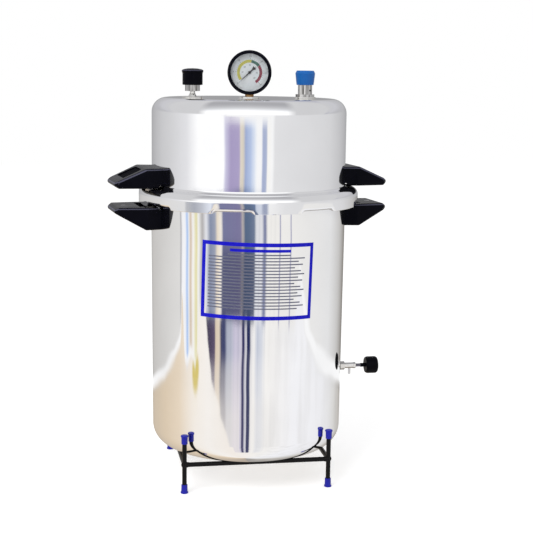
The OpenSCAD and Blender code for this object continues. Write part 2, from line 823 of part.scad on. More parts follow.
module safety_body() {
    color("gainsboro") at_safety(0) difference() {
        union() {
            translate([0, 0, lid_under_z - shank_len])
                cylinder(d = safety_shank_d, h = safety_z - lid_under_z + shank_len);
            translate([0, 0, safety_z]) cylinder(d = safety_flange_d, h = safety_flange_h);
            translate([0, 0, safety_hex_z]) rotate([0, 0, safety_hex_turn]) hexagon(safety_af, safety_hex_h);
        }
        translate([0, 0, lid_under_z - shank_len - cut]) cylinder(r = safety_seat_r, h = safety_z);
        translate([0, 0, safety_floor_z])
            cylinder(r = safety_bore_r, h = safety_top_z - safety_floor_z + cut);
        for (i = [0 : 2]) rotate([0, 0, 60 + 120 * i]) translate([0, 0, safety_port_z]) rotate([0, 90, 0])
            cylinder(r = safety_port_r, h = safety_af);
    }
}

module safety_bonnet() {
    color("gainsboro") at_safety(spring_high_z)
        tube(safety_bore_r - fit_gap, safety_spindle_r + bearing_gap, bonnet_t);
}

module safety_nut() {
    color("gainsboro") at_safety(lid_under_z)
        hanging_nut(safety_shank_d + nut_rim, safety_shank_d / 2 + fit_gap, nut_t);
}

module safety_spindle() {
    color("gainsboro") at_safety(safety_floor_z + run_gap) {
        cylinder(r = safety_disc_r, h = safety_disc_t);
        cylinder(r = safety_spindle_r, h = safety_top_z - safety_floor_z + safety_cap_h / 2);
    }
}

module safety_cap() {
    r = safety_cap_d / 2;
    h = safety_cap_h;
    low_r = r - safety_cap_taper;
    color("dodgerblue") at_safety(safety_top_z + run_gap) difference() {
        rotate_extrude() polygon([[0, 0], [low_r - cap_bevel / 2, 0], [low_r, cap_bevel / 2],
            [r, h - safety_cap_crown - cap_bevel], [r - cap_bevel / 2, h - safety_cap_crown],
            [r - 2 * cap_bevel, h - cap_bevel], [low_r - cap_bevel / 2, h], [0, h]]);
        translate([0, 0, -cut]) cylinder(r = safety_spindle_r + fit_gap, h = h / 2 + cut);
    }
}

// Compression spring between the spindle's disc and the bonnet, as one tube along a helix
spring_sides = 6;
spring_rings_per_turn = 8;
spring_rings = spring_turns * spring_rings_per_turn;
spring_rise = spring_high_z - spring_low_z - spring_wire_d - 2 * fit_gap;
function spring_point(i, j) = let (
    turn = 360 * i / spring_rings_per_turn,
    around = 360 * j / spring_sides,
    r = spring_mean_r + spring_wire_d / 2 * cos(around),
    z = spring_wire_d / 2 + fit_gap + spring_rise * i / spring_rings + spring_wire_d / 2 * sin(around)
) [r * cos(turn), r * sin(turn), z];
spring_points = [for (i = [0 : spring_rings], j = [0 : spring_sides - 1]) spring_point(i, j)];
spring_gap = spring_rise / spring_turns - spring_wire_d;
echo(str("least gap between the spring's turns, mm: ", spring_gap));

module safety_spring() {
    n = spring_sides;
    sides = [for (i = [0 : spring_rings - 1], j = [0 : n - 1]) let (k = (j + 1) % n)
        for (half = [0, 1]) half == 0
            ? [i * n + j, (i + 1) * n + j, (i + 1) * n + k]
            : [i * n + j, (i + 1) * n + k, i * n + k]];
    low_end = [for (j = [1 : n - 2]) [0, j, j + 1]];
    high_end = [for (j = [1 : n - 2]) [spring_rings * n, spring_rings * n + j + 1, spring_rings * n + j]];
    color("lightgray") at_safety(spring_low_z) polyhedron(spring_points, concat(sides, low_end, high_end));
}

// Gauge

module gauge_washer() {
    color("gainsboro") translate([0, 0, lid_top_z])
        tube(valve_washer_d / 2, gauge_stem_d / 2 + fit_gap, valve_washer_t);
}

// Brass stem: threaded shank up to the case, neck into it and the block that carries the movement
module gauge_stem() {
    color([0.6, 0.45, 0.25]) union() {
        difference() {
            translate([0, 0, lid_under_z - shank_len]) cylinder(d = gauge_stem_d, h = shank_len + gauge_rise);
            at_gauge() translate([0, 0, case_back]) cylinder(r = case_r + fit_gap, h = gauge_depth, $fn = 96);
        }
        translate([0, 0, lid_top_z + valve_washer_t])
            cylinder(r = neck_hole_r - fit_gap, h = gauge_rise - valve_washer_t + block_low);
        at_gauge() translate([-block_w / 2, block_low, block_back])
            cube([block_w, block_top - block_low, block_front - block_back]);
    }
}

module gauge_nut() {
    color("gainsboro") translate([0, 0, lid_under_z])
        hanging_nut(gauge_stem_d + nut_rim, gauge_stem_d / 2 + fit_gap, nut_t);
}

module gauge_case() {
    color([0.05, 0.05, 0.06]) difference() {
        at_gauge() difference() {
            translate([0, 0, case_back]) cylinder(r = case_r, h = gauge_depth, $fn = 96);
            translate([0, 0, case_back + case_wall]) cylinder(r = case_in_r, h = gauge_depth, $fn = 96);
        }
        translate([0, 0, lid_top_z]) cylinder(r = neck_hole_r, h = gauge_rise);
    }
}

module gauge_bezel() {
    back = case_front - bezel_sleeve;
    front = case_front + lens_t + fit_gap + bezel_lip;
    color([0.04, 0.04, 0.05]) at_gauge() difference() {
        rotate_extrude($fn = 96) {
            translate([0, back]) square([bezel_r, front - back - bezel_edge_r]);
            translate([0, back]) square([bezel_r - bezel_edge_r, front - back]);
            translate([bezel_r - bezel_edge_r, front - bezel_edge_r]) circle(r = bezel_edge_r);
        }
        translate([0, 0, back - cut])
            cylinder(r = case_r + fit_gap, h = bezel_sleeve + lens_t + fit_gap + cut, $fn = 96);
        cylinder(r = bezel_sight_r, h = 4 * case_front, $fn = 96);
    }
}

module gauge_lens() {
    color([0.85, 0.92, 0.95, 0.3]) at_gauge() translate([0, 0, case_front])
        cylinder(r = case_r - fit_gap, h = lens_t, $fn = 96);
}

module gauge_dial() {
    color([0.85, 0.9, 0.95]) at_gauge() translate([0, 0, dial_front - dial_t])
        tube(case_in_r - fit_gap, dial_hole_r, dial_t, $fn = 96);
}

// C-shaped pressure tube, from the block's side round to its closed tip, which carries the link's stud
module bourdon_tube() {
    start = asin(block_w / 2 / (tube_ring_r - tube_r)) + 1 - 90;
    color([0.6, 0.45, 0.25]) at_gauge() {
        translate([0, 0, tube_z]) {
            rotate([0, 0, start]) rotate_extrude(angle = tube_tip_angle - start, $fn = 96)
                translate([tube_ring_r, 0]) circle(r = tube_r, $fn = 24);
            rotate([0, 0, tube_tip_angle]) translate([tube_ring_r, 0, 0]) rotate([-90, 0, 0])
                cylinder(r = tip_cap_r, h = tip_cap_len);
        }
        translate([link_stud[0], link_stud[1], tube_z]) cylinder(r = arbor_r, h = link_front - tube_z);
    }
}

// Two plates on the block, and a pillar through both that carries the dial
module movement_frame() {
    color([0.7, 0.55, 0.3]) at_gauge() difference() {
        union() {
            for (z = [frame_back, frame_front]) translate([-plate_w / 2, block_top, z])
                cube([plate_w, plate_top - block_top, plate_t]);
            translate([0, pillar_y, frame_back]) cylinder(r = pillar_r, h = dial_front - dial_t - frame_back);
        }
        for (y = [0, sector_y]) translate([0, y, frame_back - cut])
            cylinder(r = arbor_r + bearing_gap, h = frame_front - frame_back + plate_t + 2 * cut);
    }
}

// A straight-sided gear tooth standing on a circle of radius pitch_r, pointing along +Y
module tooth(pitch_r) {
    foot = tooth_foot_w * PI * gear_module;
    mid = tooth_mid_w * PI * gear_module;
    tip = tooth_tip_w * PI * gear_module;
    low = pitch_r - 1.25 * gear_root * gear_module;
    high = pitch_r + gear_tip * gear_module;
    polygon([[-foot, low], [foot, low], [mid, pitch_r], [tip, high], [-tip, high], [-mid, pitch_r]]);
}

// A slice of a disc from the X axis, anticlockwise, less than half a turn
module wedge(r, angle) {
    reach = 2 * r;
    intersection() {
        circle(r = r, $fn = 96);
        polygon([[0, 0], [reach, 0], reach * [cos(angle / 2), sin(angle / 2)],
            reach * [cos(angle), sin(angle)]]);
    }
}

// Toothed sector on its own pin, with the tail that the link pulls
module sector_gear() {
    step = 360 / (pinion_teeth * gear_ratio);
    root_r = sector_pitch_r - gear_root * gear_module;
    spread = sector_sweep + 3 * step;
    color([0.7, 0.55, 0.3]) at_gauge() translate([0, sector_y, 0]) {
        translate([0, 0, gear_low]) linear_extrude(gear_t) {
            difference() {
                rotate(90 + 1.5 * step - spread) wedge(root_r, spread);
                difference() {
                    circle(r = root_r - sector_rim, $fn = 96);
                    circle(r = sector_hub_r);
                    rotate(90 - sector_sweep / 2) translate([0, -sector_arm_w / 2])
                        square([root_r, sector_arm_w]);
                }
            }
            circle(r = sector_hub_r / 2);
            rotate(tail_angle) translate([0, -tail_w / 2]) square([tail_r, tail_w]);
            rotate(tail_angle) translate([tail_r, 0]) circle(r = arbor_r + 0.5);
            for (k = [-1 : ceil(sector_sweep / step) + 1]) rotate(-k * step) tooth(sector_pitch_r);
        }
        translate([0, 0, frame_back]) cylinder(r = arbor_r, h = frame_front + plate_t - frame_back);
        rotate([0, 0, tail_angle]) translate([tail_r, 0, link_back])
            cylinder(r = arbor_r, h = gear_low - link_back + gear_t);
    }
}

// The link from the tube's tip to the sector's tail
module movement_link() {
    span = tail_pin - link_stud;
    eye_r = arbor_r + link_play;
    color([0.7, 0.55, 0.3]) at_gauge() translate([link_stud[0], link_stud[1], link_back])
        rotate([0, 0, atan2(span[1], span[0])]) difference() {
            union() {
                cylinder(r = 2 * arbor_r, h = link_t);
                translate([norm(span), 0, 0]) cylinder(r = eye_r + link_w / 2, h = link_t);
                translate([0, -link_w / 2, 0]) cube([norm(span), link_w, link_t]);
            }
            translate([0, 0, -cut]) cylinder(r = arbor_r + bearing_gap, h = link_t + 2 * cut);
            translate([norm(span), 0, -cut]) cylinder(r = eye_r, h = link_t + 2 * cut);
        }
}

// The pointer's shaft with its pinion
module pointer_arbor() {
    step = 360 / pinion_teeth;
    color([0.7, 0.55, 0.3]) at_gauge() {
        translate([0, 0, frame_back]) cylinder(r = arbor_r, h = pointer_low + pointer_t - frame_back);
        translate([0, 0, gear_low]) linear_extrude(gear_t) {
            circle(r = pinion_pitch_r - gear_root * gear_module);
            for (k = [0 : pinion_teeth - 1]) rotate(180 + (k + 0.5) * step) tooth(pinion_pitch_r);
        }
    }
}

// Tapered needle with a spade-shaped counterweight
module gauge_pointer() {
    tip = pointer_reach * bezel_sight_r;
    tail = pointer_tail * bezel_sight_r;
    half = pointer_w / 2;
    color([0.05, 0.05, 0.05]) at_gauge() translate([0, 0, pointer_low]) rotate([0, 0, pointer_zero])
        difference() {
            union() {
                linear_extrude(pointer_t) polygon([[half / 4, tip], [half, 0], [half, -tail / 2],
                    [3 * half, -tail], [-3 * half, -tail], [-half, -tail / 2], [-half, 0], [-half / 4, tip]]);
                cylinder(r = pointer_hub_r, h = 2 * pointer_t);
            }
            translate([0, 0, -cut]) cylinder(r = arbor_r + fit_gap, h = pointer_t + cut);
        }
}

leg(0);  // stand_leg_front_left
leg(1);  // stand_leg_front_right
leg(2);  // stand_leg_rear_right
leg(3);  // stand_leg_rear_left
rail(0);  // stand_rail_front
rail(1);  // stand_rail_right
rail(2);  // stand_rail_rear
rail(3);  // stand_rail_left
leg_top_caps();
leg_foot_caps();
vessel();
on_body(0) handle(body_wall_r, handle_h);  // body_handle_left
on_body(1) handle(body_wall_r, handle_h);  // body_handle_right
for (side = [0, 1]) on_body(side) handle_strap(body_wall_r);  // body_handle_straps
for (side = [0, 1]) on_body(side) handle_screw();  // body_handle_screws
drain_washer();
drain_body();
drain_inner_nut();
drain_gland();
drain_seat();
drain_spindle();
drain_knob();
rack_plate();
rack_feet();
gasket();
lid();
on_lid(0) handle(lid_r, lid_handle_h);  // lid_handle_left
on_lid(1) handle(lid_r, lid_handle_h);  // lid_handle_right
for (side = [0, 1]) on_lid(side) handle_strap(lid_r);  // lid_handle_straps
for (side = [0, 1]) on_lid(side) handle_screw();  // lid_handle_screws
vent_pipe();
vent_washer();
vent_nut();
weight_core();
weight_cap();
safety_washer();
safety_body();
safety_bonnet();
safety_nut();
safety_spindle();
safety_spring();
safety_cap();
gauge_washer();
gauge_stem();
gauge_nut();
gauge_case();
gauge_bezel();
gauge_lens();
gauge_dial();
bourdon_tube();
movement_frame();
movement_link();
sector_gear();
pointer_arbor();
gauge_pointer();
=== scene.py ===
"""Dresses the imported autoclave: polished shells, moulded handles, valves, gauge and studio.

Sizes are in millimetres in the classes and in metres in Blender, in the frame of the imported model.
"""

import json
import logging
import math
from dataclasses import dataclass
from enum import Enum
from typing import ClassVar, Iterable, Sequence

import bmesh
import bpy
from mathutils import Matrix, Vector

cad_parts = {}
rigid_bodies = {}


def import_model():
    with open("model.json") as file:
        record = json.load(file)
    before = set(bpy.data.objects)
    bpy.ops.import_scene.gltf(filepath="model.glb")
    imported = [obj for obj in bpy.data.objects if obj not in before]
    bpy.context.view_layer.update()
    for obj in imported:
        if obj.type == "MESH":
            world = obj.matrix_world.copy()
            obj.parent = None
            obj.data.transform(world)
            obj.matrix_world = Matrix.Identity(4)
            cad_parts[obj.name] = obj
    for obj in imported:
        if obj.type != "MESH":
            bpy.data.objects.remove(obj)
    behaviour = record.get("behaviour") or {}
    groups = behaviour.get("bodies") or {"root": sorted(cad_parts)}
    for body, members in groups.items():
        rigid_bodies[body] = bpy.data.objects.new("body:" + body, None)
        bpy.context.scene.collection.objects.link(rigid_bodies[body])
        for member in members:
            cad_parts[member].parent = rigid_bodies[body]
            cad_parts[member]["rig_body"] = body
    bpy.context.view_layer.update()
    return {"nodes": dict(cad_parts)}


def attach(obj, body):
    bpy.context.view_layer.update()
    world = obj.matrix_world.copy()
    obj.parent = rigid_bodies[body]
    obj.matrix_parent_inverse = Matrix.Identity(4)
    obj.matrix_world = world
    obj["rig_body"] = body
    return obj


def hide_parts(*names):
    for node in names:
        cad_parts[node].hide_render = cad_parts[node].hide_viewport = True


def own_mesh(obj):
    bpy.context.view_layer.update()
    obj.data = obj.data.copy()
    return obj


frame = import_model()
SLOTS = {name: node.data.materials[0].name.split(".")[0] for name, node in frame["nodes"].items()}

LOG = logging.getLogger("autoclave")
MM = 0.001
WELD = 1e-6
FINE_WELD = WELD / 10
FLAT_ANGLE = math.radians(0.6)
HOLE_SEGMENTS = 48
UP = Vector((0, 0, 1))

Mesh = bmesh.types.BMesh
Socket = bpy.types.NodeSocket
Colour = tuple[float, float, float]
Place = tuple[float, float, float]
Point = tuple[float, float]
Span = tuple[float, float]
Reach = tuple[float, float, float]
Stop = tuple[float, Colour]


class Lay(Enum):
    """Direction in which the fine marks of a finish run."""

    CAST = "cast"
    SPUN = "spun"
    TURNED = "turned"
    DRAWN = "drawn"
    ALONG_COCK = "along_cock"


# Node trees


class Nodes:
    """A node tree that is written node by node."""

    def __init__(self, tree: bpy.types.NodeTree) -> None:
        """Keeps the tree that nodes are added to."""
        self.tree = tree

    def add(self, kind: str, sockets: dict | None = None, **settings: object) -> bpy.types.Node:
        """Adds one node.

        Args:
            kind: Blender's name for the node type.
            sockets: Input name or number to a value or to a socket that feeds it.
            settings: Properties of the node itself.

        Returns:
            The new node.
        """
        node = self.tree.nodes.new(kind)
        for key, value in settings.items():
            setattr(node, key, value)
        for key, value in (sockets or {}).items():
            if isinstance(value, Socket):
                self.tree.links.new(value, node.inputs[key])
            else:
                node.inputs[key].default_value = value
        return node

    def math(self, operation: str, first: object, second: object = 0.0) -> Socket:
        """Returns the result of one Math node on two values or sockets."""
        return self.add("ShaderNodeMath", {0: first, 1: second}, operation=operation).outputs[0]

    def times(self, first: object, second: object) -> Socket:
        """Returns the product of two values or sockets."""
        return self.math("MULTIPLY", first, second)

    def angle(self, rise: Socket, run: Socket) -> Socket:
        """Returns the angle of a slope in degrees."""
        return self.times(self.math("ARCTAN2", rise, run), math.degrees(1.0))

    def vector(self, operation: str, first: object, second: object) -> bpy.types.Node:
        """Returns one Vector Math node on two vectors or sockets."""
        return self.add("ShaderNodeVectorMath", {0: first, 1: second}, operation=operation)

    def join(self, **parts: object) -> Socket:
        """Returns a vector of the parts named X, Y and Z."""
        return self.add("ShaderNodeCombineXYZ", parts).outputs[0]

    def height(self, place: Socket) -> Socket:
        """Returns the upward part of a vector."""
        return self.add("ShaderNodeSeparateXYZ", {0: place}).outputs["Z"]

    def rising(self, value: Socket, span: Span, full: float = 1.0) -> Socket:
        """Returns a share that rises from nothing to full over a span."""
        return self.spread(value, 0.0, full, *span)

    def falling(self, value: Socket, span: Span, full: float = 1.0) -> Socket:
        """Returns a share that falls from full to nothing over a span."""
        return self.spread(value, full, 0.0, *span)

    def noise(self, place: object, scale: float, detail: float = 3.0) -> Socket:
        """Returns the strength of a noise pattern read at a place."""
        sockets = {"Vector": place, "Scale": scale, "Detail": detail}
        return self.add("ShaderNodeTexNoise", sockets).outputs[0]

    def spread(self, value: object, low: float, high: float, start: float = 0.3,
               end: float = 0.7) -> Socket:
        """Returns a value spread from one span to another.

        Args:
            value: Socket to read.
            low: Result at the start of the span.
            high: Result at its end.
            start: Start of the span.
            end: End of the span.

        Returns:
            The spread value's socket.
        """
        sockets = {"Value": value, "From Min": start, "From Max": end, "To Min": low, "To Max": high}
        return self.add("ShaderNodeMapRange", sockets).outputs[0]

    def near(self, value: object, at: float, full: float, none: float) -> Socket:
        """Returns 1 within a distance of a value, falling to 0 at a larger distance."""
        off = self.math("ABSOLUTE", self.math("SUBTRACT", value, at))
        return self.spread(off, 1.0, 0.0, full, none)

    def mix(self, share: object, first: object, second: object) -> Socket:
        """Mixes two colours.

        Args:
            share: How much of the second one shows.
            first: Colour or socket.
            second: Colour or socket.

        Returns:
            The mixed colour's socket.
        """
        node = self.add("ShaderNodeMix", data_type="RGBA")
        for name, value in (("Factor_Float", share), ("A_Color", first), ("B_Color", second)):
            socket = next(s for s in node.inputs if s.identifier == name)
            if isinstance(value, Socket):
                self.tree.links.new(value, socket)
            else:
                socket.default_value = value if isinstance(value, float) else (*value, 1.0)
        return next(s for s in node.outputs if s.identifier == "Result_Color")

    def ramp(self, value: object, stops: Sequence[Stop]) -> Socket:
        """Picks a colour from a row of stops.

        Args:
            value: Where to read the row, from 0 to 1.
            stops: Place and colour of each stop.

        Returns:
            The colour's socket.
        """
        node = self.add("ShaderNodeValToRGB", {0: value})
        band = node.color_ramp.elements
        while len(band) < len(stops):
            band.new(1.0)
        for element, (at, tone) in zip(band, stops):
            element.position = at
            element.color = (*tone, 1.0)
        return node.outputs[0]


# Finishes


@dataclass(frozen=True)
class Finish:
    """A surface finish, made into one procedural material.

    The tone drifts towards a second tone in soft patches, the gloss varies with them, and a fine
    grain lifts the surface along the lay of the marks that the maker's tools left. Faces at one slope
    can take a painted highlight or painted shade, and on the hexagons the patches stretch into
    upright streaks of painted reflection.
    """

    slot: str
    tone: Colour
    patch_tone: Colour
    patch_scale: float
    gloss: tuple[float, float]
    grain_scale: float
    grain_depth: float
    lay: Lay = Lay.CAST
    metallic: float = 0.0
    specular: float = 0.5
    coat: float = 0.0
    ripple: float = 0.0
    # Tone of faces at one slope: a painted highlight on the bakelite, painted shade on the cock metal
    painted_light_tone: Colour | None = None
    painted_light_at: float = 0.45
    glass: bool = False

    made: ClassVar[dict[str, bpy.types.Material]] = {}
    LAY_STRETCH: ClassVar[dict[Lay, Place]] = {
        Lay.CAST: (1.0, 1.0, 1.0), Lay.TURNED: (0.03, 0.03, 1.0),
        Lay.DRAWN: (1.0, 1.0, 0.05), Lay.ALONG_COCK: (1.0, 0.03, 0.03)}
    COCK_TURN: ClassVar[float] = math.radians(6)
    PAINTED_LIGHT_REACH: ClassVar[Span] = (0.08, 0.36)
    PATCH_SHARE: ClassVar[float] = 0.6
    GRAIN_DETAIL: ClassVar[float] = 4.0
    RIPPLE_SCALE: ClassVar[float] = 9.0
    RIPPLE_DETAIL: ClassVar[float] = 1.5
    GLASS_IOR: ClassVar[float] = 1.46

    def material(self) -> bpy.types.Material:
        """Finds the finish's material.

        Returns:
            The material, made on first use.
        """
        if self.slot not in self.made:
            self.made[self.slot] = self.build()
        return self.made[self.slot]

    def place(self, nodes: Nodes, coords: Socket) -> Socket:
        """Returns the place that the grain is read at.

        Args:
            nodes: Tree to add to.
            coords: The object's own coordinates.

        Returns:
            Coordinates stretched or wrapped so that the grain follows the lay.
        """
        if self.lay is Lay.SPUN:
            flat = nodes.vector("MULTIPLY", coords, (1.0, 1.0, 0.0)).outputs[0]
            radius = nodes.vector("LENGTH", flat, flat).outputs["Value"]
            return nodes.join(X=radius, Y=nodes.height(coords))
        turn = (0.0, 0.0, self.COCK_TURN if self.lay is Lay.ALONG_COCK else 0.0)
        sockets = {"Vector": coords, "Rotation": turn, "Scale": self.LAY_STRETCH[self.lay]}
        return nodes.add("ShaderNodeMapping", sockets).outputs[0]

    def build(self) -> bpy.types.Material:
        """Writes the finish's nodes.

        Returns:
            A new material.
        """
        material = bpy.data.materials.new(self.slot + "_finish")
        material.use_nodes = True
        nodes = Nodes(material.node_tree)
        shader = material.node_tree.nodes["Principled BSDF"]
        coords = nodes.add("ShaderNodeTexCoord").outputs["Object"]
        along = self.place(nodes, coords)
        # For the drawn lay the patches stretch into upright streaks, a painted reflection on the hexagons
        patches = nodes.noise(along if self.lay is Lay.DRAWN else coords, self.patch_scale)
        grain = nodes.noise(along, self.grain_scale, self.GRAIN_DETAIL)
        link = material.node_tree.links.new
        tone = nodes.mix(nodes.spread(patches, 0.0, 1.0), self.tone, self.patch_tone)
        if self.painted_light_tone:
            # Faces at one slope have a tone of their own: a painted highlight along the handles' bevels,
            # painted shade on the cock's undersides
            upward = nodes.height(nodes.add("ShaderNodeTexCoord").outputs["Normal"])
            tone = nodes.mix(nodes.near(upward, self.painted_light_at, *self.PAINTED_LIGHT_REACH), tone, self.painted_light_tone)
        link(tone, shader.inputs["Base Color"])
        grained = nodes.times(grain, 1.0 - self.PATCH_SHARE)
        blend = nodes.math("ADD", nodes.times(patches, self.PATCH_SHARE), grained)
        link(nodes.spread(blend, *self.gloss), shader.inputs["Roughness"])
        lift = {"Height": grain, "Distance": self.grain_depth * MM, "Strength": 1.0}
        if self.ripple:
            waves = nodes.noise(coords, self.RIPPLE_SCALE, self.RIPPLE_DETAIL)
            sway = {"Height": waves, "Distance": self.ripple * MM, "Strength": 1.0}
            lift["Normal"] = nodes.add("ShaderNodeBump", sway).outputs[0]
        link(nodes.add("ShaderNodeBump", lift).outputs[0], shader.inputs["Normal"])
        shader.inputs["Metallic"].default_value = self.metallic
        shader.inputs["Specular IOR Level"].default_value = self.specular
        shader.inputs["Coat Weight"].default_value = self.coat
        if self.glass:
            shader.inputs["Transmission Weight"].default_value = 1.0
            shader.inputs["IOR"].default_value = self.GLASS_IOR
        return material


# Slot, tone, patch tone and scale, gloss, grain scale and depth
POLISHED = Finish("polished_aluminium", (0.94, 0.94, 0.95), (0.90, 0.90, 0.91), 14.0, (0.015, 0.055),
                  1400.0, 0.0010, Lay.SPUN, metallic=1.0, ripple=0.4)
PLAIN = Finish("plain_aluminium", (0.74, 0.74, 0.75), (0.66, 0.66, 0.67), 30.0, (0.30, 0.48),
               900.0, 0.010, Lay.CAST, metallic=1.0)
# The bakelite's slope tone is a painted highlight along the rounded edges of the mouldings
BAKELITE = Finish("black_bakelite", (0.0010, 0.0010, 0.0030), (0.0022, 0.0022, 0.0055), 45.0, (0.20, 0.32),
                  700.0, 0.010, specular=0.05, painted_light_tone=(0.085, 0.085, 0.125))
KNOB_BLACK = Finish("knob_black", (0.0010, 0.0010, 0.0022), (0.0024, 0.0024, 0.0050), 60.0, (0.28, 0.42),
                    700.0, 0.012, specular=0.06)
PANEL_BLACK = Finish("panel_black", (0.0010, 0.0010, 0.0025), (0.0024, 0.0024, 0.0050), 90.0, (0.66, 0.80),
                     900.0, 0.020, specular=0.02)
# Darker metal for the lid lugs' curl: painted shade in the crease
LUG_SHADE = Finish("lug_painted_shade", (0.44, 0.42, 0.40), (0.52, 0.50, 0.48), 60.0, (0.10, 0.20),
                 900.0, 0.004, Lay.SPUN, metallic=1.0)
BLUE_CAP = Finish("blue_cap", (0.006, 0.112, 0.430), (0.009, 0.140, 0.480), 60.0, (0.36, 0.52),
                  500.0, 0.015, specular=0.3)
VINYL = Finish("blue_vinyl", (0.005, 0.007, 0.32), (0.008, 0.012, 0.40), 70.0, (0.30, 0.46),
               420.0, 0.020, specular=0.35)
PAINT = Finish("black_paint", (0.0030, 0.0030, 0.0035), (0.007, 0.0065, 0.0065), 60.0, (0.22, 0.36),
               260.0, 0.030, specular=0.13)
NICKEL = Finish("nickel_plate", (0.76, 0.75, 0.73), (0.60, 0.59, 0.56), 55.0, (0.05, 0.13),
                1500.0, 0.004, Lay.TURNED, metallic=1.0)
# The hexagons' dark patch tone, stretched into upright streaks, is a painted reflection in their facets
HEX_PAINTED_STREAKS = Finish("nickel_painted_streaks", (0.74, 0.73, 0.72), (0.10, 0.095, 0.09), 330.0, (0.08, 0.18),
                 600.0, 0.05, Lay.DRAWN, metallic=1.0)
# The cock metal's slope tone is a painted brown shade on faces turned down
COCK_METAL = Finish("cock_metal", (0.82, 0.81, 0.80), (0.58, 0.57, 0.55), 130.0, (0.05, 0.12),
                    1300.0, 0.004, Lay.ALONG_COCK, metallic=1.0, painted_light_tone=(0.17, 0.12, 0.06), painted_light_at=-0.72)
DARK_METAL = Finish("dark_metal", (0.10, 0.095, 0.12), (0.17, 0.165, 0.19), 140.0, (0.14, 0.26),
                    1300.0, 0.004, Lay.ALONG_COCK, metallic=1.0)
STEEL = Finish("steel_screw", (0.60, 0.60, 0.61), (0.48, 0.47, 0.46), 80.0, (0.24, 0.40),
               1600.0, 0.006, Lay.TURNED, metallic=1.0)
SILICONE = Finish("silicone", (0.62, 0.62, 0.60), (0.54, 0.54, 0.52), 40.0, (0.46, 0.60),
                  600.0, 0.015, specular=0.35)
RUBBER = Finish("black_rubber", (0.003, 0.003, 0.004), (0.007, 0.007, 0.008), 90.0, (0.58, 0.76),
                800.0, 0.030, specular=0.12)
BRASS = Finish("brass", (0.50, 0.30, 0.12), (0.22, 0.11, 0.05), 110.0, (0.26, 0.50),
               1300.0, 0.006, Lay.TURNED, metallic=1.0)
ENAMEL = Finish("gauge_black", (0.0016, 0.0016, 0.0050), (0.0035, 0.0035, 0.0080), 60.0, (0.16, 0.28),
                520.0, 0.008, specular=0.06)
DIAL = Finish("dial_white", (0.94, 0.98, 1.0), (0.91, 0.96, 0.99), 120.0, (0.42, 0.55),
              900.0, 0.004, specular=0.3)
GLASS = Finish("glass", (1.0, 1.0, 1.0), (0.98, 0.99, 1.0), 40.0, (0.0, 0.03), 60.0, 0.0004, glass=True)
FINISHES = {f.slot: f for f in (POLISHED, PLAIN, BAKELITE, BLUE_CAP, VINYL, PAINT, NICKEL, STEEL,
                                SILICONE, RUBBER, BRASS, ENAMEL, DIAL, GLASS)}


def ink(name: str, tone: Colour) -> Finish:
    """Returns a printed ink: its tone with a slightly paler patch and a soft sheen."""
    pale = tuple(min(1.0, 1.15 * part + 0.01) for part in tone)
    return Finish(name, tone, pale, 150.0, (0.40, 0.55), 1200.0, 0.003, specular=0.12)


INK_YELLOW = ink("ink_yellow", (0.60, 0.56, 0.07))
INK_GREEN = ink("ink_green", (0.012, 0.13, 0.09))
INK_RED = ink("ink_red", (0.26, 0.012, 0.045))
INK_GREY = ink("ink_grey", (0.05, 0.07, 0.09))
INK_BLUE = ink("ink_blue", (0.003, 0.002, 0.47))
INK_RULE = ink("ink_rule", (0.13, 0.135, 0.19))


# Mesh helpers


def arc(centre: Point, radius: float, start: float, end: float, steps: int) -> list[Point]:
    """Returns points along an arc of a half profile.

    Args:
        centre: Centre as distance from the axis and height.
        radius: Radius of the arc.
        start: First angle in degrees, from outwards towards up.
        end: Last angle in degrees.
        steps: Number of straight steps.

    Returns:
        The points, both ends included.
    """
    angles = (math.radians(start + (end - start) * k / steps) for k in range(steps + 1))
    return [(centre[0] + radius * math.cos(a), centre[1] + radius * math.sin(a)) for a in angles]


def run(first: Point, last: Point, steps: int) -> list[Point]:
    """Returns points along a straight part of a half profile, both ends left out."""
    return [(first[0] + (last[0] - first[0]) * k / steps, first[1] + (last[1] - first[1]) * k / steps)
            for k in range(1, steps)]


def lathe(outline: Sequence[Point], passes: Sequence[tuple[float, int]], closed: bool = False) -> Mesh:
    """Spins a half profile about the vertical axis.

    Args:
        outline: Points as distance from the axis and height, in millimetres.
        passes: Angle in degrees and number of steps of each spin that follows the last one.
        closed: Whether the last point joins the first.

    Returns:
        The closed shell, in metres.
    """
    bm = bmesh.new()
    spots = [bm.verts.new((r * MM, 0.0, z * MM)) for r, z in outline]
    ends = spots[1:] + spots[:1] if closed else spots[1:]
    edges = [bm.edges.new(pair) for pair in zip(spots, ends)]
    geometry = spots + edges
    for angle, steps in passes:
        geometry = bmesh.ops.spin(bm, geom=geometry, angle=math.radians(angle), steps=steps,
                                  axis=(0, 0, 1), cent=(0, 0, 0))["geom_last"]
    bmesh.ops.remove_doubles(bm, verts=bm.verts, dist=WELD)
    bmesh.ops.recalc_face_normals(bm, faces=bm.faces)
    return bm


def soften(bm: Mesh, crease: float = 32.0) -> None:
    """Shades all faces smooth and keeps the creases sharp.

    Args:
        bm: The mesh.
        crease: Angle in degrees from which an edge is sharp.
    """
    limit = math.radians(crease)
    for face in bm.faces:
        face.smooth = True
    for edge in bm.edges:
        edge.smooth = edge.calc_face_angle(0.0) < limit


def plate(width: float, height: float) -> Mesh:
    """Makes one flat face.

    Args:
        width: Its size along x.
        height: Its size along y.

    Returns:
        The face, centred on the origin.
    """
    bm = bmesh.new()
    bmesh.ops.create_grid(bm, x_segments=1, y_segments=1, size=0.5)
    bmesh.ops.scale(bm, vec=(width, height, 1.0), verts=bm.verts)
    return bm


def swing(bm: Mesh, angle: float, axis: str) -> None:
    """Turns a mesh about an axis through the origin."""
    bmesh.ops.rotate(bm, cent=(0, 0, 0), matrix=Matrix.Rotation(angle, 3, axis), verts=bm.verts)


def level_axis(turn: float) -> Vector:
    """Returns the level direction at an angle in degrees."""
    return Vector((math.cos(math.radians(turn)), math.sin(math.radians(turn)), 0.0))


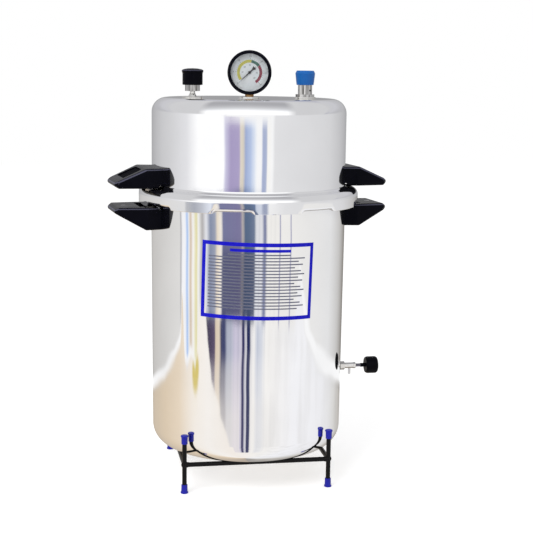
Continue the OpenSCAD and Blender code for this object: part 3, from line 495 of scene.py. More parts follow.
def piece(name: str, bm: Mesh, finish: Finish, body: str,
          replaces: Iterable[str] = ()) -> bpy.types.Object:
    """Makes a finished mesh one piece of the object.

    Args:
        name: Name of the piece.
        bm: Its mesh, in place, which is freed here.
        finish: What it is dressed in.
        body: CAD body that it moves with.
        replaces: CAD nodes that it stands for.

    Returns:
        The new object.
    """
    mesh = bpy.data.meshes.new(name)
    bm.to_mesh(mesh)
    bm.free()
    mesh.materials.append(finish.material())
    obj = bpy.data.objects.new(name, mesh)
    bpy.context.scene.collection.objects.link(obj)
    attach(obj, body)
    if replaces:
        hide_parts(*replaces)
    LOG.info("piece %s on %s: %d faces", name, body, len(mesh.polygons))
    return obj


def drill(bm: Mesh, holes: Sequence[tuple[Vector, Vector, float, float]]) -> Mesh:
    """Cuts round holes through a shell.

    Args:
        bm: The shell, which is freed here.
        holes: Centre, axis, radius and length of each hole, in metres.

    Returns:
        The shell with its holes.
    """
    scene = bpy.context.scene.collection.objects
    blank = bpy.data.objects.new("blank", bpy.data.meshes.new("blank"))
    cutter = bpy.data.objects.new("cutter", bpy.data.meshes.new("cutter"))
    bm.to_mesh(blank.data)
    bm.free()
    tool = bmesh.new()
    for centre, axis, radius, length in holes:
        turn = UP.rotation_difference(axis).to_matrix().to_4x4()
        bmesh.ops.create_cone(tool, cap_ends=True, segments=HOLE_SEGMENTS, radius1=radius, radius2=radius,
                              depth=length, matrix=Matrix.Translation(centre) @ turn)
    tool.to_mesh(cutter.data)
    tool.free()
    for obj in (blank, cutter):
        scene.link(obj)
    cut = blank.modifiers.new("holes", "BOOLEAN")
    cut.operation = "DIFFERENCE"
    cut.object = cutter
    cut.solver = "EXACT"
    result = bmesh.new()
    result.from_object(blank, bpy.context.evaluated_depsgraph_get())
    for obj in (blank, cutter):
        mesh = obj.data
        bpy.data.objects.remove(obj)
        bpy.data.meshes.remove(mesh)
    bmesh.ops.remove_doubles(result, verts=result.verts, dist=WELD)
    return result


def refine(node: str, name: str, bevel: float = 0.25, crease: float = 38.0, segments: int = 2,
           finish: Finish | None = None) -> bpy.types.Object:
    """Stands a cleaned copy of a CAD node in its place, with eased edges.

    Args:
        node: The CAD node.
        name: Name of the piece.
        bevel: Width of the eased edges in millimetres, 0 for none.
        crease: Angle in degrees from which an edge counts as an edge.
        segments: Number of facets across an eased edge.
        finish: What it is dressed in, the node's own slot where none is given.

    Returns:
        The new piece.
    """
    cad = frame["nodes"][node]
    slot = SLOTS[node]
    bm = bmesh.new()
    bm.from_mesh(cad.data)
    bmesh.ops.remove_doubles(bm, verts=bm.verts, dist=WELD)
    bmesh.ops.dissolve_limit(bm, angle_limit=FLAT_ANGLE, verts=bm.verts, edges=bm.edges)
    soften(bm, crease)
    obj = piece(name, bm, finish or FINISHES[slot], cad["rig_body"], (node,))
    if bevel:
        ease = obj.modifiers.new("eased_edges", "BEVEL")
        ease.width = bevel * MM
        ease.segments = segments
        ease.profile = 0.5
        ease.limit_method = "ANGLE"
        ease.angle_limit = math.radians(crease)
    weigh = obj.modifiers.new("even_shading", "WEIGHTED_NORMAL")
    weigh.keep_sharp = True
    return obj


def join(parts: Iterable[Mesh]) -> Mesh:
    """Joins several meshes.

    Args:
        parts: The meshes, which are freed here.

    Returns:
        One mesh of them all.
    """
    whole = bmesh.new()
    for part in parts:
        mesh = bpy.data.meshes.new("part")
        part.to_mesh(mesh)
        part.free()
        whole.from_mesh(mesh)
        bpy.data.meshes.remove(mesh)
    return whole


# Sub-assemblies


@dataclass
class Stand:
    """The welded rod stand with its pushed-on end caps."""

    sides: tuple[str, ...] = ("front", "right", "rear", "left")
    corners: tuple[str, ...] = ("front_left", "front_right", "rear_right", "rear_left")
    cap_ease: float = 0.35

    def build(self) -> None:
        """Stands fine copies of the rods, rails and caps in place."""
        for corner in self.corners:
            refine("stand_leg_" + corner, "rod_leg_" + corner)
        for side in self.sides:
            refine("stand_rail_" + side, "rod_rail_" + side, bevel=0.0)
        for end in ("top", "foot"):
            refine(f"leg_{end}_caps", f"vinyl_{end}_caps", self.cap_ease, segments=3)


@dataclass
class Vessel:
    """The drawn vessel with its rim and rim lugs."""

    radius: float = 150.0
    base_radius: float = 147.5
    wall: float = 3.0
    floor: float = 4.0
    low: float = 47.8
    edge: float = 30.0
    rim_under: float = 441.8
    rim: float = 445.8
    rim_radius: float = 160.4
    lug_radius: float = 165.0
    lug_angle: float = 20.0
    lugs: int = 8
    steps: int = 288
    drain_height: float = 162.3
    drain_turn: float = -6.0
    drain_hole: float = 5.05
    drain_depth: float = 20.0
    drain_band: float = 8.0
    base_rings: Span = (40.0, 80.0)
    ring_step: float = 14.0
    rim_clear: float = 6.0
    hold: float = 0.6
    lip: float = 0.5
    edge_steps: int = 22
    inner_steps: int = 14

    def wall_radius(self, height: float) -> float:
        """Returns the outer wall's radius at a height."""
        share = (height - self.low - self.edge) / (self.rim_under - self.low - self.edge)
        return self.base_radius + (self.radius - self.base_radius) * share

    def outline(self) -> list[Point]:
        """Draws the vessel's sheet.

        Returns:
            The half profile, from the axis under the base round to the axis above it.
        """
        turn = self.low + self.edge
        inner_edge = self.edge - max(self.wall, self.floor)
        inner_turn = (self.base_radius - self.wall - inner_edge, self.low + self.floor + inner_edge)
        count = int((self.rim_under - self.rim_clear - turn) / self.ring_step)
        levels = [turn + self.hold, *(turn + self.ring_step * k for k in range(1, count + 1)),
                  self.drain_height - self.drain_band, self.drain_height + self.drain_band]
        outer = [(self.wall_radius(z), z) for z in sorted(levels)]
        inner = [(r - self.wall, z) for r, z in reversed(outer)]
        bore, rim, lip = self.radius - self.wall, self.rim_radius, self.lip
        under = [(r, self.low) for r in (0.0, *self.base_rings)]
        outer_turn = (self.base_radius - self.edge, turn)
        return [*under, *arc(outer_turn, self.edge, -90, 0, self.edge_steps), *outer,
                (self.radius, self.rim_under), (rim - lip, self.rim_under), (rim, self.rim_under + lip),
                (rim, self.rim - lip), (rim - lip, self.rim), (bore + lip, self.rim), (bore, self.rim - lip),
                *inner, *arc(inner_turn, inner_edge, 0, -90, self.inner_steps),
                *((r, self.low + self.floor) for r, _ in reversed(under))]

    def on_lug(self, face: bmesh.types.BMFace) -> bool:
        """Tells whether a face of the rim's edge is drawn out into a lug.

        Args:
            face: A face of the spun shell.

        Returns:
            Whether it stands on the rim's edge and within a lug's angle.
        """
        centre = face.calc_center_median()
        pitch = 360.0 / self.lugs
        offset = (math.degrees(math.atan2(centre.y, centre.x)) % pitch) - pitch / 2
        level = abs(centre.z - (self.rim + self.rim_under) / 2 * MM) < self.lip * MM
        outside = centre.xy.length > (self.rim_radius - self.lip / 2) * MM
        return level and outside and abs(offset) < self.lug_angle / 2

    def build(self) -> None:
        """Spins the shell, draws its rim lugs out and drills the drain cock's hole."""
        bm = lathe(self.outline(), [(360.0, self.steps)])
        chosen = [face for face in bm.faces if self.on_lug(face)]
        drawn = bmesh.ops.extrude_face_region(bm, geom=chosen)["geom"]
        bmesh.ops.delete(bm, geom=chosen, context="FACES_KEEP_BOUNDARY")
        for vert in (g for g in drawn if isinstance(g, bmesh.types.BMVert)):
            vert.co.xy *= self.lug_radius / self.rim_radius
        bmesh.ops.recalc_face_normals(bm, faces=bm.faces)
        axis = level_axis(self.drain_turn)
        centre = (axis * self.base_radius + UP * self.drain_height) * MM
        bm = drill(bm, [(centre, axis, self.drain_hole * MM, self.drain_depth * MM)])
        soften(bm)
        piece("vessel_shell", bm, POLISHED, "vessel", replaces=("vessel",))


@dataclass
class Panel:
    """The blue frame and plain rules printed on a clear film on the vessel's front."""

    vessel: Vessel
    low: float = 270.4
    high: float = 383.7
    left: float = -41.7
    right: float = 24.3
    border: float = 5.6
    tilt: float = 0.030
    lean: float = 0.028
    lift: float = 0.12
    sink: float = 0.05
    margin: float = 5.0
    rules: int = 17
    rule_height: float = 1.8
    rule_shares: tuple[float, ...] = (0.97, 0.90, 0.95, 0.86, 0.93)
    rule_drop: float = 22.0
    rule_room: float = 34.0
    bar_height: float = 4.2
    bar_drop: float = 11.4
    bar_span: Span = (-0.29, 0.31)
    under_height: float = 2.0
    under_drop: float = 17.6
    under_span: Span = (-0.31, 0.31)
    cut_every: float = 3.0

    def wrap(self, bm: Mesh) -> None:
        """Bends a flat solid, x along the wall and y up, round the vessel's wall.

        Args:
            bm: The flat solid in millimetres, its z the lift off the wall.
        """
        middle = (self.left + self.right) / 2
        centre_z = (self.low + self.high) / 2
        for vert in bm.verts:
            x, y, lift = vert.co
            height = centre_z + y - self.tilt * x
            radius = self.vessel.wall_radius(height) + lift
            angle = math.radians(middle) + (x + self.lean * y) / self.vessel.radius
            vert.co = Vector((radius * math.sin(angle), -radius * math.cos(angle), height)) * MM

    def slab(self, bm: Mesh) -> Mesh:
        """Cuts a flat face into strips, gives it thickness and bends it round the wall.

        Args:
            bm: The flat face.

        Returns:
            The same mesh.
        """
        width = self.width()
        count = int(width / self.cut_every)
        for k in range(1, count):
            bmesh.ops.bisect_plane(bm, geom=[*bm.verts, *bm.edges, *bm.faces],
                                   plane_co=(width * (k / count - 0.5), 0, 0), plane_no=(1, 0, 0))
        drawn = bmesh.ops.extrude_face_region(bm, geom=bm.faces[:])["geom"]
        for vert in bm.verts:
            vert.co.z = -self.sink
        for vert in (g for g in drawn if isinstance(g, bmesh.types.BMVert)):
            vert.co.z = self.lift
        bmesh.ops.recalc_face_normals(bm, faces=bm.faces)
        self.wrap(bm)
        return bm

    def width(self) -> float:
        """Returns the panel's width along the wall."""
        return math.radians(self.right - self.left) * self.vessel.radius

    def border_frame(self) -> Mesh:
        """Draws the panel's border.

        Returns:
            The frame, bent round the wall.
        """
        bm = plate(self.width(), self.high - self.low)
        bmesh.ops.inset_region(bm, faces=bm.faces[:], thickness=self.border, use_even_offset=True,
                               use_boundary=True)
        inner = min(bm.faces, key=lambda f: f.calc_center_median().length)
        bmesh.ops.delete(bm, geom=[inner], context="FACES_ONLY")
        return self.slab(bm)

    def rule(self, drop: float, height: float, span: Span) -> Mesh:
        """Draws one plain rule.

        Args:
            drop: Distance of the rule's middle below the panel's upper edge.
            height: Height of the rule.
            span: Its two ends, as shares of the room between the margins.

        Returns:
            The rule, bent round the wall.
        """
        room = self.width() - 2 * (self.border + self.margin)
        start, end = (room * share for share in span)
        bm = plate(end - start, height)
        middle = ((start + end) / 2, (self.high - self.low) / 2 - drop, 0.0)
        bmesh.ops.translate(bm, vec=middle, verts=bm.verts)
        return self.slab(bm)

    def build(self) -> None:
        """Lays the frame and its rules on the wall."""
        piece("panel_frame", self.border_frame(), INK_BLUE, "vessel")
        rows = []
        for k in range(self.rules):
            drop = self.rule_drop + k * (self.high - self.low - self.rule_room) / self.rules
            share = self.rule_shares[k % len(self.rule_shares)]
            rows.append(self.rule(drop, self.rule_height, (-0.5, share - 0.5)))
        rows.append(self.rule(self.under_drop, self.under_height, self.under_span))
        piece("panel_rules", join(rows), INK_RULE, "vessel")
        bar = self.rule(self.bar_drop, self.bar_height, self.bar_span)
        piece("panel_bar", bar, INK_BLUE, "vessel")


@dataclass
class Lid:
    """The deep lid with its flange, rounded shoulder and skirt with pressed lugs."""

    radius: float = 149.0
    wall: float = 2.5
    top: float = 586.9
    top_rings: tuple[float, ...] = (30.0, 62.0, 96.0)
    edge: float = 22.0
    edge_steps: int = 20
    wall_margin: float = 13.0
    wall_steps: int = 7
    flange: float = 452.9
    neck: float = 4.0
    neck_steps: int = 6
    shoulder: float = 10.0
    shoulder_steps: int = 9
    skirt_radius: float = 168.98
    skirt: float = 426.9
    skirt_step: float = 0.75
    skirt_rings: int = 20
    hold: float = 0.5
    lip: float = 0.5
    skin: float = 0.6
    stem_hole: float = 6.65
    lug_count: int = 8
    lug_angle: float = 22.0
    lug_steps: int = 10
    lug_dish: float = 0.35
    lug_dish_height: float = 18.0
    lug_curl: float = 5.1
    lug_curl_height: float = 7.0
    lug_fade: float = 8.0
    lug_raise: float = 3.0
    fade_angle: float = 2.4
    fade_steps: int = 6
    gap_steps: int = 6
    valve_radius: float = 89.0
    vent_hole: float = 5.05
    safety_hole: float = 8.05
    hole_depth: float = 12.0

    def face(self, inset: float) -> list[Point]:
        """Draws one side of the sheet.

        Args:
            inset: Depth of this side below the outer one.

        Returns:
            Its half profile, from the stem's hole to the skirt's edge.
        """
        top_turn = (self.radius - self.edge, self.top - self.edge)
        neck_turn = (self.radius + self.neck, self.flange + self.neck)
        shoulder_turn = (self.skirt_radius - self.shoulder, self.flange - self.shoulder)
        top, wall, skirt = self.top - inset, self.radius - inset, self.skirt_radius - inset
        upper, lower = (wall, top_turn[1] - self.wall_margin), (wall, neck_turn[1] + self.wall_margin)
        levels = [shoulder_turn[1] - self.skirt_step * k for k in range(1, self.skirt_rings + 1)]
        return [*((r, top) for r in (self.stem_hole, *self.top_rings, top_turn[0] - self.hold)),
                *arc(top_turn, self.edge - inset, 90, 0, self.edge_steps), (wall, top_turn[1] - self.hold),
                *run(upper, lower, self.wall_steps), (wall, neck_turn[1] + self.hold),
                *arc(neck_turn, self.neck + inset, 180, 270, self.neck_steps),
                *arc(shoulder_turn, self.shoulder - inset, 90, 0, self.shoulder_steps),
                *((skirt, z) for z in levels), (skirt, self.skirt + self.lip)]

    def outline(self) -> list[Point]:
        """Returns the closed half profile of the sheet."""
        outer, inner = self.skirt_radius - self.lip, self.skirt_radius - self.wall + self.lip
        return [*self.face(0.0), (outer, self.skirt), (inner, self.skirt), *reversed(self.face(self.wall))]

    def press(self, vert: bmesh.types.BMVert) -> None:
        """Moves one point of the skirt inwards and up where it belongs to a pressed lug.

        Args:
            vert: A point of the spun sheet.
        """
        radius = vert.co.xy.length
        height = vert.co.z / MM - self.skirt
        if radius < (self.skirt_radius - self.wall - self.skin) * MM or height > self.lug_dish_height:
            return
        pitch = 360.0 / self.lug_count
        offset = (math.degrees(math.atan2(vert.co.y, vert.co.x)) % pitch) - pitch / 2
        along = abs(math.radians(offset)) * self.skirt_radius
        half = math.radians(self.lug_angle / 2) * self.skirt_radius
        share = min(max((half - along) / self.lug_fade, 0.0), 1.0)
        share = share * share * (3.0 - 2.0 * share)
        down = min(max(1.0 - height / self.lug_curl_height, 0.0), 1.0)
        dish = self.lug_dish * (1.0 - height / self.lug_dish_height) ** 2
        inward = dish + self.lug_curl * (1.0 - math.sqrt(1.0 - down * down))
        vert.co.xy *= (radius - inward * share * MM) / radius
        vert.co.z += self.lug_raise * share * down * MM

    def build(self) -> None:
        """Spins the sheet, presses its lugs, drills the valves' holes and gives the lugs' curls a painted
        shade.
        """
        gap = (360.0 / self.lug_count / 2 - self.lug_angle / 2, self.gap_steps)
        fade = (self.fade_angle, self.fade_steps)
        middle = (self.lug_angle - 2 * self.fade_angle, self.lug_steps)
        bm = lathe(self.outline(), [gap, fade, middle, fade, gap] * self.lug_count, closed=True)
        for vert in bm.verts:
            self.press(vert)
        holes = []
        for side, hole in ((-1, self.vent_hole), (1, self.safety_hole)):
            centre = Vector((side * self.valve_radius, 0, self.top - self.wall / 2)) * MM
            holes.append((centre, UP, hole * MM, self.hole_depth * MM))
        bm = drill(bm, holes)
        # Faces in the lugs' curl take the second, darker material: painted shade in the crease
        curled = (self.skirt_radius - self.lug_dish - self.skin) * MM
        for face in bm.faces:
            centre = face.calc_center_median()
            low = centre.z < (self.skirt + self.lug_curl_height) * MM
            face.material_index = int(low and centre.xy.length < curled)
        soften(bm)
        shell = piece("lid_shell", bm, POLISHED, "lid", replaces=("lid",))
        shell.data.materials.append(LUG_SHADE.material())


@dataclass
class Handles:
    """The four moulded handles with the straps and screws that hold them."""

    places: tuple[str, ...] = ("lid_handle_left", "lid_handle_right", "body_handle_left", "body_handle_right")
    slope: Span = (0.70, 0.985)
    least_area: float = 150.0
    panel_depth: float = 1.5
    level_with: float = 0.999
    crease: float = 30.0
    eases: tuple[tuple[str, float], ...] = (("straps", 0.4), ("screws", 0.2))

    def dull(self, handle: bpy.types.Object) -> None:
        """Dresses the floor of the panel sunk in a handle's slope in matt black.

        Args:
            handle: The moulded handle.
        """
        handle.data.materials.append(PANEL_BLACK.material())
        steep, level = self.slope
        sloped = [p for p in handle.data.polygons if steep < abs(p.normal.z) < level
                  and p.area > self.least_area * MM * MM]
        slope = max(sloped, key=lambda p: p.normal.dot(p.center))
        for polygon in sloped:
            below = slope.normal.dot(slope.center - polygon.center)
            if polygon.normal.dot(slope.normal) > self.level_with and below > self.panel_depth / 2 * MM:
                polygon.material_index = 1

    def build(self) -> None:
        """Stands smooth-shaded copies of the handles, straps and screws in place."""
        for place in self.places:
            # The handles' bakelite carries a painted highlight along its bevels
            self.dull(refine(place, "moulded_" + place, bevel=0.0, crease=self.crease))
        for whose in ("lid", "body"):
            for what, ease in self.eases:
                refine(f"{whose}_handle_{what}", f"{whose}_{what}", ease)


@dataclass
class Valves:
    """The vent with its dead weight, and the safety valve with its spring."""

    fittings: tuple[str, ...] = ("vent_pipe", "vent_washer", "vent_nut", "safety_washer", "safety_bonnet",
                                 "safety_nut", "safety_spindle")
    hexagons: tuple[str, ...] = ("weight_core", "safety_body")
    ease: float = 0.3
    caps: tuple[tuple[str, float], ...] = (("weight_cap", 0.7), ("safety_cap", 0.5))
    cap_crease: float = 12.0
    safety_at: Point = (89.0, 0.0)
    spring_low: float = 593.7
    spring_high: float = 603.4
    spring_radius: float = 5.0
    spring_wire: float = 1.2
    spring_turns: float = 4.0
    spring_steps: int = 144
    wire_segments: int = 12
    wire_crease: float = 50.0
    valve_travel: float = 3.0

    def build(self) -> None:
        """Stands fine copies of the fittings in place and winds the spring."""
        for node in self.fittings:
            refine(node, "fine_" + node, self.ease)
        # The hexagons' dark streaks are a painted reflection
        for node in self.hexagons:
            refine(node, "fine_" + node, self.ease, finish=HEX_PAINTED_STREAKS)
        for node, ease in self.caps:
            refine(node, "moulded_" + node, ease, crease=self.cap_crease, segments=3)
        self.wind()

    def wind(self) -> None:
        """Winds the safety valve's spring, which is squeezed when the valve lifts."""
        bm = bmesh.new()
        length = self.spring_high - self.spring_low
        half = self.spring_wire / 2
        centre = Vector((*self.safety_at, 0.0)) * MM
        start = Vector((self.spring_radius, 0.0, self.spring_low + half)) * MM + centre
        upright = Matrix.Translation(start) @ Matrix.Rotation(math.pi / 2, 4, "X")
        ring = bmesh.ops.create_circle(bm, cap_ends=True, segments=self.wire_segments, radius=half * MM,
                                       matrix=upright)
        step = (length - self.spring_wire) * MM / self.spring_steps
        bmesh.ops.spin(bm, geom=[*ring["verts"], *bm.edges, *bm.faces], cent=centre, axis=(0, 0, 1),
                       angle=math.tau * self.spring_turns, steps=self.spring_steps, dvec=(0, 0, step))
        bmesh.ops.remove_doubles(bm, verts=bm.verts, dist=FINE_WELD)
        bmesh.ops.recalc_face_normals(bm, faces=bm.faces)
        soften(bm, self.wire_crease)
        spring = piece("safety_coil", bm, STEEL, "lid", replaces=("safety_spring",))
        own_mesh(spring)


@dataclass
class Gauge:
    """The pressure gauge with its printed dial, whose angles run clockwise from the top."""

    nodes: tuple[tuple[str, float], ...] = (
        ("gauge_case", 0.6), ("gauge_washer", 0.3), ("gauge_nut", 0.4), ("gauge_stem", 0.3),
        ("gauge_dial", 0.0), ("gauge_lens", 0.3), ("gauge_pointer", 0.12))
    bezel_ease: float = 0.3
    height: float = 625.4
    turn: float = -16.0
    dial_front: float = 5.0
    ink_lift: float = 0.05
    ink_sink: float = 0.02
    band: Span = (14.9, 19.2)
    zones: tuple[tuple[str, Finish, float, float], ...] = (
        ("yellow", INK_YELLOW, -128.0, 8.5), ("green", INK_GREEN, 9.0, 54.0), ("red", INK_RED, 54.5, 147.0))
    zone_cut: float = 2.0
    zone_cuts: int = 12
    zero: float = -133.0
    sweep: float = 270.0
    marks: int = 30
    long_every: int = 5
    # Radius, length and width of a tick
    long_tick: tuple[float, float, float] = (21.0, 2.6, 0.45)
    short_tick: tuple[float, float, float] = (20.4, 1.4, 0.26)
    numbers: int = 6
    # Step, radius and height of a row of numbers
    rows: tuple[tuple[int, float, float], ...] = ((5, 24.6, 2.5), (10, 11.0, 2.3))
    font_share: float = 1.4
    font_cuts: int = 3

    def place(self) -> Matrix:
        """Returns the gauge's own frame: x to the reader's right, y up, z to the reader."""
        turn = Matrix.Rotation(math.radians(self.turn), 4, "Z") @ Matrix.Rotation(math.pi / 2, 4, "X")
        return Matrix.Translation((0, 0, self.height * MM)) @ turn

    def zone(self, start: float, end: float) -> Mesh:
        """Draws one coloured band of the dial.

        Args:
            start: Angle where it begins, in degrees.
            end: Angle where it ends.

        Returns:
            The band as a thin solid.
        """
        inner, outer = (r * MM for r in self.band)
        low, high = (self.dial_front - self.ink_sink) * MM, (self.dial_front + self.ink_lift) * MM
        bm = plate(high - low, outer - inner)
        swing(bm, math.pi / 2, "Y")
        bmesh.ops.translate(bm, vec=(0, (inner + outer) / 2, (low + high) / 2), verts=bm.verts)
        swing(bm, -math.radians(start), "Z")
        bmesh.ops.spin(bm, geom=[*bm.verts, *bm.edges, *bm.faces], angle=-math.radians(end - start),
                       steps=max(self.zone_cuts, int((end - start) / self.zone_cut)), axis=(0, 0, 1),
                       cent=(0, 0, 0))
        bmesh.ops.remove_doubles(bm, verts=bm.verts, dist=FINE_WELD)
        bmesh.ops.recalc_face_normals(bm, faces=bm.faces)
        return bm

    def mark(self, clock: float, radius: float, length: float, width: float) -> Mesh:
        """Draws one tick of the scale.

        Args:
            clock: Its angle in degrees.
            radius: Distance of the tick's middle from the centre.
            length: Length of the tick.
            width: Width of the tick.

        Returns:
            The tick as a thin solid.
        """
        bm = bmesh.new()
        bmesh.ops.create_cube(bm, size=MM)
        bmesh.ops.scale(bm, vec=(width, length, 2 * self.ink_lift), verts=bm.verts)
        bmesh.ops.translate(bm, vec=(0, radius * MM, self.dial_front * MM), verts=bm.verts)
        swing(bm, -math.radians(clock), "Z")
        return bm

    def digits(self, words: str, height: float) -> Mesh:
        """Sets a plain number.

        Args:
            words: Digits to set.
            height: Height of the digits.

        Returns:
            The number as a thin solid, centred on the origin.
        """
        curve = bpy.data.curves.new("digits", "FONT")
        curve.body = words
        curve.align_x = "CENTER"
        curve.align_y = "CENTER"
        curve.size = self.font_share * height * MM
        curve.extrude = self.ink_lift * MM
        curve.resolution_u = self.font_cuts
        obj = bpy.data.objects.new("digits", curve)
        bpy.context.scene.collection.objects.link(obj)
        mesh = bpy.data.meshes.new_from_object(obj.evaluated_get(bpy.context.evaluated_depsgraph_get()))
        bm = bmesh.new()
        bm.from_mesh(mesh)
        bpy.data.objects.remove(obj)
        bpy.data.curves.remove(curve)
        bpy.data.meshes.remove(mesh)
        bmesh.ops.remove_doubles(bm, verts=bm.verts, dist=WELD)
        return bm

    def number(self, words: str, clock: float, radius: float, height: float) -> Mesh:
        """Sets one number of the scale in its place.

        Args:
            words: Digits to set.
            clock: Its angle in degrees.
            radius: Distance of its middle from the centre.
            height: Height of the digits.

        Returns:
            The number as a thin solid.
        """
        bm = self.digits(words, height)
        turn = math.radians(clock)
        spot = Vector((radius * math.sin(turn), radius * math.cos(turn), self.dial_front)) * MM
        bmesh.ops.translate(bm, vec=spot, verts=bm.verts)
        return bm

    def build(self) -> None:
        """Dresses the case and movement and prints the dial."""
        for node, ease in self.nodes:
            refine(node, "fine_" + node, ease)
        refine("gauge_bezel", "fine_gauge_bezel", self.bezel_ease, segments=3)
        place = self.place()
        for name, finish, start, end in self.zones:
            bm = self.zone(start, end)
            bm.transform(place)
            piece("dial_band_" + name, bm, finish, "lid")
        marks = []
        for k in range(self.marks + 1):
            tick = self.short_tick if k % self.long_every else self.long_tick
            marks.append(self.mark(self.zero + self.sweep * k / self.marks, *tick))
        for k in range(self.numbers + 1):
            clock = self.zero + self.sweep * k / self.numbers
            marks += [self.number(str(step * k), clock, radius, height) for step, radius, height in self.rows]
        scale = join(marks)
        scale.transform(place)
        piece("dial_scale", scale, INK_GREY, "lid")


@dataclass
class DrainCock:
    """The drain cock on the vessel's right side."""

    # The cock metal carries painted shade on its undersides
    nodes: tuple[tuple[str, Finish | None], ...] = (
        ("drain_body", COCK_METAL), ("drain_inner_nut", None), ("drain_gland", COCK_METAL),
        ("drain_spindle", DARK_METAL), ("drain_seat", None))
    ease: float = 0.25
    washer_ease: float = 0.5
    knob_ease: float = 0.7
    knob_crease: float = 14.0

    def build(self) -> None:
        """Stands fine copies of the cock's pieces in place."""
        refine("drain_washer", "fine_drain_washer", self.washer_ease, segments=3)
        for node, finish in self.nodes:
            refine(node, "fine_" + node, self.ease, finish=finish)
        refine("drain_knob", "moulded_drain_knob", self.knob_ease, crease=self.knob_crease, segments=3,
               finish=KNOB_BLACK)


@dataclass
class Inside:
    """What shows only when the lid is off or the gauge is open."""

    nodes: tuple[tuple[str, float], ...] = (
        ("rack_plate", 0.4), ("rack_feet", 0.5), ("gasket", 0.8), ("bourdon_tube", 0.0),
        ("movement_frame", 0.1), ("movement_link", 0.1), ("sector_gear", 0.0), ("pointer_arbor", 0.0))

    def build(self) -> None:
        """Stands fine copies of the inner pieces in place."""
        for node, ease in self.nodes:
            refine(node, "fine_" + node, ease)


# Studio


